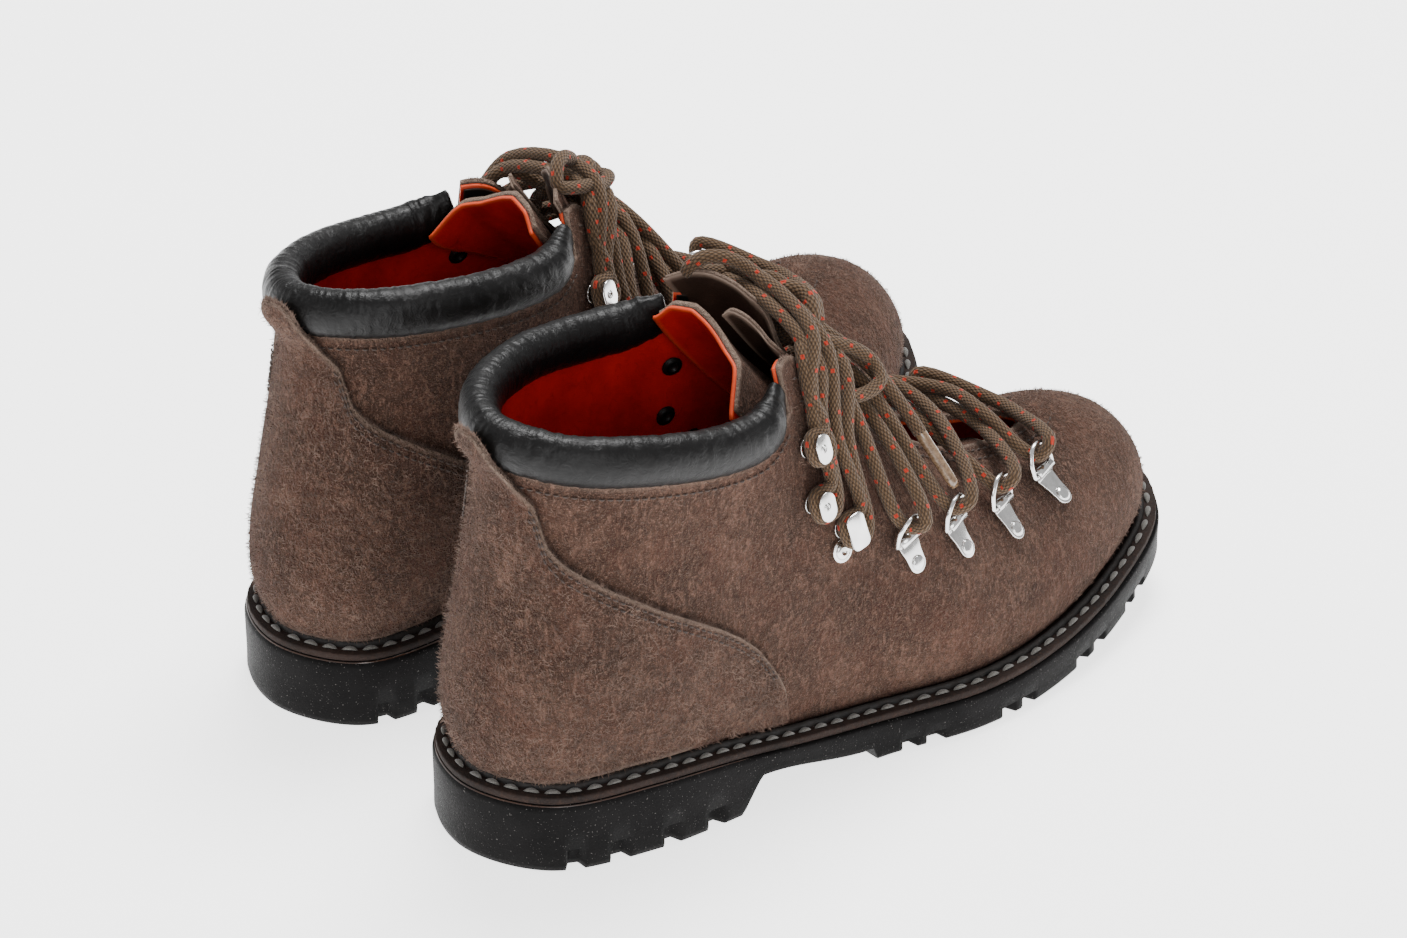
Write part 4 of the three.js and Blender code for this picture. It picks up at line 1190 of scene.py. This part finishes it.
COLLAR = smooth_leather("collar_leather", (0.0022, 0.0021, 0.0021), (0.0060, 0.0055, 0.0055),
                        (0.02, 0.02, 0.02), (0.30, 0.46), 0.9, 0.03)
collar = shell(420, 36, collar_point)
bmesh.ops.remove_doubles(collar, verts=collar.verts, dist=1e-3)
rims = [e for e in collar.edges if e.is_boundary]
bmesh.ops.holes_fill(collar, edges=rims, sides=80)
outward(collar)
for obj in both_feet("collar", collar, COLLAR, stands_for=["collar"]):
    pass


def dark_thread():
    m = Maker("dark_thread")
    twist = m.noise(1500, 2, 0.5)
    m.color(m.ramp(twist, [(0.35, (0.020, 0.013, 0.010)), (0.65, (0.075, 0.048, 0.036))]))
    m.rough(m.ramp(twist, [(0.3, 0.6), (0.7, 0.85)]))
    m.normal(m.bump(twist, 0.6, 0.0002))
    return m.material


DARK_THREAD = dark_thread()


def skin_seam(stations, share, offset):
    """The line of a seam on the upper, as points with their outward directions."""
    line = []
    for station in stations:
        v = share(station)
        out = skin_frame(station / STATIONS, clamp(v, 0.01, 0.99))[3]
        line.append((skin_offset(station / STATIONS, v, offset), out))
    return line


def steps(a, b, count):
    return [mix(a, b, k / count) for k in range(count + 1)]


seams = []
seams.append(skin_seam(steps(-3.6, 3.6, 150), lambda t: below_rim(t / STATIONS, 20.6), 0.05))
for inset in (2.6, 5.4):
    for side in (1, -1):
        seams.append(skin_seam(steps(0.62 * side, 3.12 * side, 110),
                               lambda t: max(0.06, counter_top(t) - inset / 140), 2.0))
for side in (1, -1):
    for drop in (3.2, 6.4):
        seams.append(skin_seam(steps(3.95 * side, 7.9 * side, 140), lambda t: 1 - drop / 62, 0.05))
threads = joined([(stitch_line(line, 2.9, 2.3, 0.75, 0.7, 0.1), Matrix()) for line in seams])
both_feet("seams", threads, DARK_THREAD)

# ---------------------------------------------------------------- tongue
# Suede over a red leather lining, bound at the edge in orange; it bends over the instep and its free
# end stands up behind the bow, falling away toward the outer side.
TONGUE_LINE = [(0, 234, 66), (0, 205, 73), (0, 172, 94), (0, 142, 120), (0, 121, 144), (0, 109, 162)]
TONGUE_WIDTH = [11, 18, 21, 22, 21.5, 22]
TONGUE_BOW = [2, 6, 7, 7, 6, 6]
TONGUE_DROP = [(-2, 0), (-0.36, 0), (0, 4), (0.36, 8), (0.68, 10), (0.9, 14), (1.2, 20)]
tongue_axis = open_curve(TONGUE_LINE, 40)


def tongue_point(across, along, depth):
    place = clamp(along) * (len(tongue_axis) - 1)
    first = min(int(place), len(tongue_axis) - 2)
    point = tongue_axis[first].lerp(tongue_axis[first + 1], place - first)
    before, after = tongue_axis[max(0, first - 3)], tongue_axis[min(len(tongue_axis) - 1, first + 4)]
    way = (after - before).normalized()
    front = -Vector((1, 0, 0)).cross(way).normalized()
    row = clamp(along) * (len(TONGUE_WIDTH) - 1)
    low = min(int(row), len(TONGUE_WIDTH) - 2)
    width = mix(TONGUE_WIDTH[low], TONGUE_WIDTH[low + 1], row - low)
    bow_in = mix(TONGUE_BOW[low], TONGUE_BOW[low + 1], row - low)
    p = point + Vector((across * width, 0, 0)) + front * (-depth - bow_in * across * across)
    rise = smooth((along - 0.55) / 0.45)
    drop = 0.0
    for (a, low_drop), (b, high_drop) in zip(TONGUE_DROP, TONGUE_DROP[1:]):
        if a <= across <= b:
            drop = mix(low_drop, high_drop, (across - a) / (b - a))
    rounded = 4.0 * smooth((abs(across) - 0.72) / 0.3)
    back = 5.7 * smooth((across - 0.6) / 0.45)
    return p + Vector((1.5 * smooth(across), -back, -drop - rounded)) * rise


def tongue_layer(outer_depth, thickness, edge_reach, grow=0.0, columns=48, rows=110):
    layer = shell(columns, rows, lambda a, b: tongue_point(
        (2 * a - 1) * (1 + grow / 20), b + grow / 130 * smooth((b - 0.8) * 5), outer_depth
        + 0.5 * noise.noise(Vector((a * 3, b * 7, 1))) * math.sin(math.pi * a)))
    raw_edges(layer, edge_reach)
    outward(layer)
    if sum(f.normal.y for f in layer.faces) < 0:
        bmesh.ops.reverse_faces(layer, faces=layer.faces)
    thicken(layer, thickness)
    return outward(layer)


both_feet("tongue", tongue_layer(0.0, 2.0, 1.6), SUEDE, body="tongue", stands_for=["tongue"])
both_feet("tongue_lining", tongue_layer(2.3, 1.2, 1.6, grow=0.5), RED, body="tongue")

# ---------------------------------------------------------------- tongue flaps
# Two loose flaps of suede in front of the tongue, cut from one hide below; they stand away at the
# top, showing the smooth dark inner side and pale fuzzy edges.
FLAP_TOPS = {
    "inner": [(-26, 108.5, 163), (-20, 113.7, 166), (-13, 118, 167), (-7, 122.3, 164.3), (-2, 125, 160.3),
              (0, 128.4, 155.4), (2, 130, 150.4)],
    "outer": [(-1, 113.8, 159.4), (2, 114.7, 161.8), (5, 117.6, 160.2), (8, 121.5, 155.6), (12, 123.2, 151),
              (15, 126.7, 146.3)],
}
DARK_HIDE = smooth_leather("flap_inner_side", (0.018, 0.009, 0.006), (0.045, 0.024, 0.016), EDGE,
                           (0.5, 0.7), 0.5)


def flap_layer(top, shares, depth, thickness):
    line = open_curve(top, 12)

    def point(a, b):
        place = a * (len(line) - 1)
        first = min(int(place), len(line) - 2)
        tip = line[first].lerp(line[first + 1], place - first)
        across = mix(shares[0], shares[1], a)
        base = tongue_point(across, 0.42, -1.2)
        lead = tongue_point(across, 0.66, -2.4)
        p = base * (1 - b) ** 2 + lead * (2 * b * (1 - b)) + tip * b * b
        wave = 0.8 * noise.noise(Vector((a * 2.4, b * 3, shares[0] * 9))) * b
        return p + Vector((0, 0.75, 0.65)) * (wave - depth)
    layer = shell(48, 70, point)
    raw_edges(layer, 2.0)
    outward(layer)
    if sum(f.normal.y for f in layer.faces) < 0:
        bmesh.ops.reverse_faces(layer, faces=layer.faces)
    thicken(layer, thickness)
    return outward(layer)


for name, shares in (("outer", (0.0, 0.80)), ("inner", (-0.85, 0.10))):
    lift = 0.0 if name == "outer" else -1.9
    top = FLAP_TOPS[name]
    both_feet(f"flap_{name}", flap_layer(top, shares, lift, 1.0), SUEDE, body="tongue",
              stands_for=["tongue_flaps"])
    both_feet(f"flap_{name}_inside", flap_layer(top, shares, lift + 1.1, 0.6), DARK_HIDE,
              body="tongue")

# ---------------------------------------------------------------- loose fibres
# The nap's long fibres, thickest round the heel counter, and the fringe along the cut edges.


def hair_material():
    m = Maker("suede_fibres")
    tone = m.noise(160, 2, 0.6)
    m.color(m.ramp(tone, [(0.3, (0.042, 0.024, 0.017)), (0.7, (0.190, 0.122, 0.092))]))
    m.rough(m.ramp(tone, [(0.3, 0.8), (0.7, 0.95)]))
    m.normal(m.bump(m.noise(900, 2, 0.6), 0.3, 0.0001))
    return m.material


HAIR = hair_material()
dice = random.Random(11)


def add_hair(bm, root, out, length, width):
    side = out.orthogonal().normalized()
    side = Matrix.Rotation(dice.uniform(0, 2 * math.pi), 3, out) @ side
    lean = (side * dice.uniform(0.5, 1.5) + out * dice.uniform(0.3, 1.0)).normalized()
    bend = lean.cross(out).normalized()
    a, b = root + bend * width / 2, root - bend * width / 2
    middle = root + lean * length * 0.55 + out * length * 0.12
    verts = [bm.verts.new(p) for p in (a, b, middle - bend * width / 2.6, middle + bend * width / 2.6,
                                       root + lean * length)]
    bm.faces.new(verts[:4])
    bm.faces.new((verts[3], verts[2], verts[4]))


def patch_hair(count, length, pick):
    bm = bmesh.new()
    for k in range(count):
        root, out = pick()
        add_hair(bm, root, out, dice.uniform(0.4, 1.0) * length, 0.22)
    return bm


def pick_upper():
    u = dice.random()
    v = dice.uniform(0.04, 0.985) * min(1, upper_top(u))
    return skin_offset(u, v, 0.0), skin_frame(u, clamp(v, 0.01, 0.98))[3]


def pick_counter():
    station = dice.uniform(-3.2, 3.2)
    v = dice.uniform(0.04, 1.0) * counter_top(station)
    out = skin_frame(station / STATIONS, clamp(v, 0.01, 0.98))[3]
    return skin_offset(station / STATIONS, v, counter_offset(v) + 1.6), out


def pick_counter_edge():
    station = dice.uniform(-3.2, 3.2)
    v = counter_top(station)
    root = skin_offset(station / STATIONS, v, counter_offset(v) + dice.uniform(0.2, 1.6))
    return root, skin_frame(station / STATIONS, clamp(v, 0.01, 0.98))[2]


def pick_throat():
    station = dice.uniform(3.8, 8.6) * dice.choice((-1, 1))
    root = skin_offset(station / STATIONS, 0.998, -dice.uniform(0.1, 1.8))
    return root, skin_frame(station / STATIONS, 0.98)[2]


both_feet("upper_fibres", patch_hair(14000, 1.7, pick_upper), HAIR)
both_feet("counter_fibres", patch_hair(11000, 2.8, pick_counter), HAIR)
both_feet("edge_fibres", joined([(patch_hair(4200, 2.0, pick_counter_edge), Matrix()),
                                 (patch_hair(4200, 1.6, pick_throat), Matrix())]), HAIR)

# ---------------------------------------------------------------- floor and light
# A pale seamless floor, a large soft light above and to the left, a weaker one from the right.
floor = bmesh.new()
bmesh.ops.create_grid(floor, x_segments=2, y_segments=2, size=4)
floor_maker = Maker("pale_floor")
mottle = floor_maker.noise(3, 3, 0.5)
floor_maker.color(floor_maker.ramp(mottle, [(0.3, (0.93, 0.93, 0.93)), (0.7, (0.96, 0.96, 0.96))]))
floor_maker.rough(floor_maker.ramp(mottle, [(0.3, 0.6), (0.7, 0.75)]))
floor_maker.set(Emission_Color=(1, 1, 1, 1), Emission_Strength=2.2)
floor_mesh = bpy.data.meshes.new("floor")
floor.to_mesh(floor_mesh)
floor.free()
floor_mesh.materials.append(floor_maker.material)
floor_obj = bpy.data.objects.new("floor", floor_mesh)
bpy.context.scene.collection.objects.link(floor_obj)


def soft_light(name, at, size, power, color=(1, 1, 1)):
    data = bpy.data.lights.new(name, 'AREA')
    data.shape = 'DISK'
    data.size = size
    data.energy = power
    data.color = color
    light = bpy.data.objects.new(name, data)
    bpy.context.scene.collection.objects.link(light)
    light.location = at
    light.rotation_mode = 'QUATERNION'
    light.rotation_quaternion = (Vector((0, 0, 0.06)) - light.location).to_track_quat('-Z', 'Y')


soft_light("overhead", (-0.3, 0.45, 1.5), 0.8, 40)
soft_light("left_front", (-1.5, -1.3, 1.1), 1.0, 6)
soft_light("right_front", (1.6, -0.9, 0.9), 1.0, 13)
world = bpy.data.worlds.new("studio")
world.use_nodes = True
world.node_tree.nodes["Background"].inputs["Color"].default_value = (1, 1, 1, 1)
world.node_tree.nodes["Background"].inputs["Strength"].default_value = 0.62
bpy.context.scene.world = world
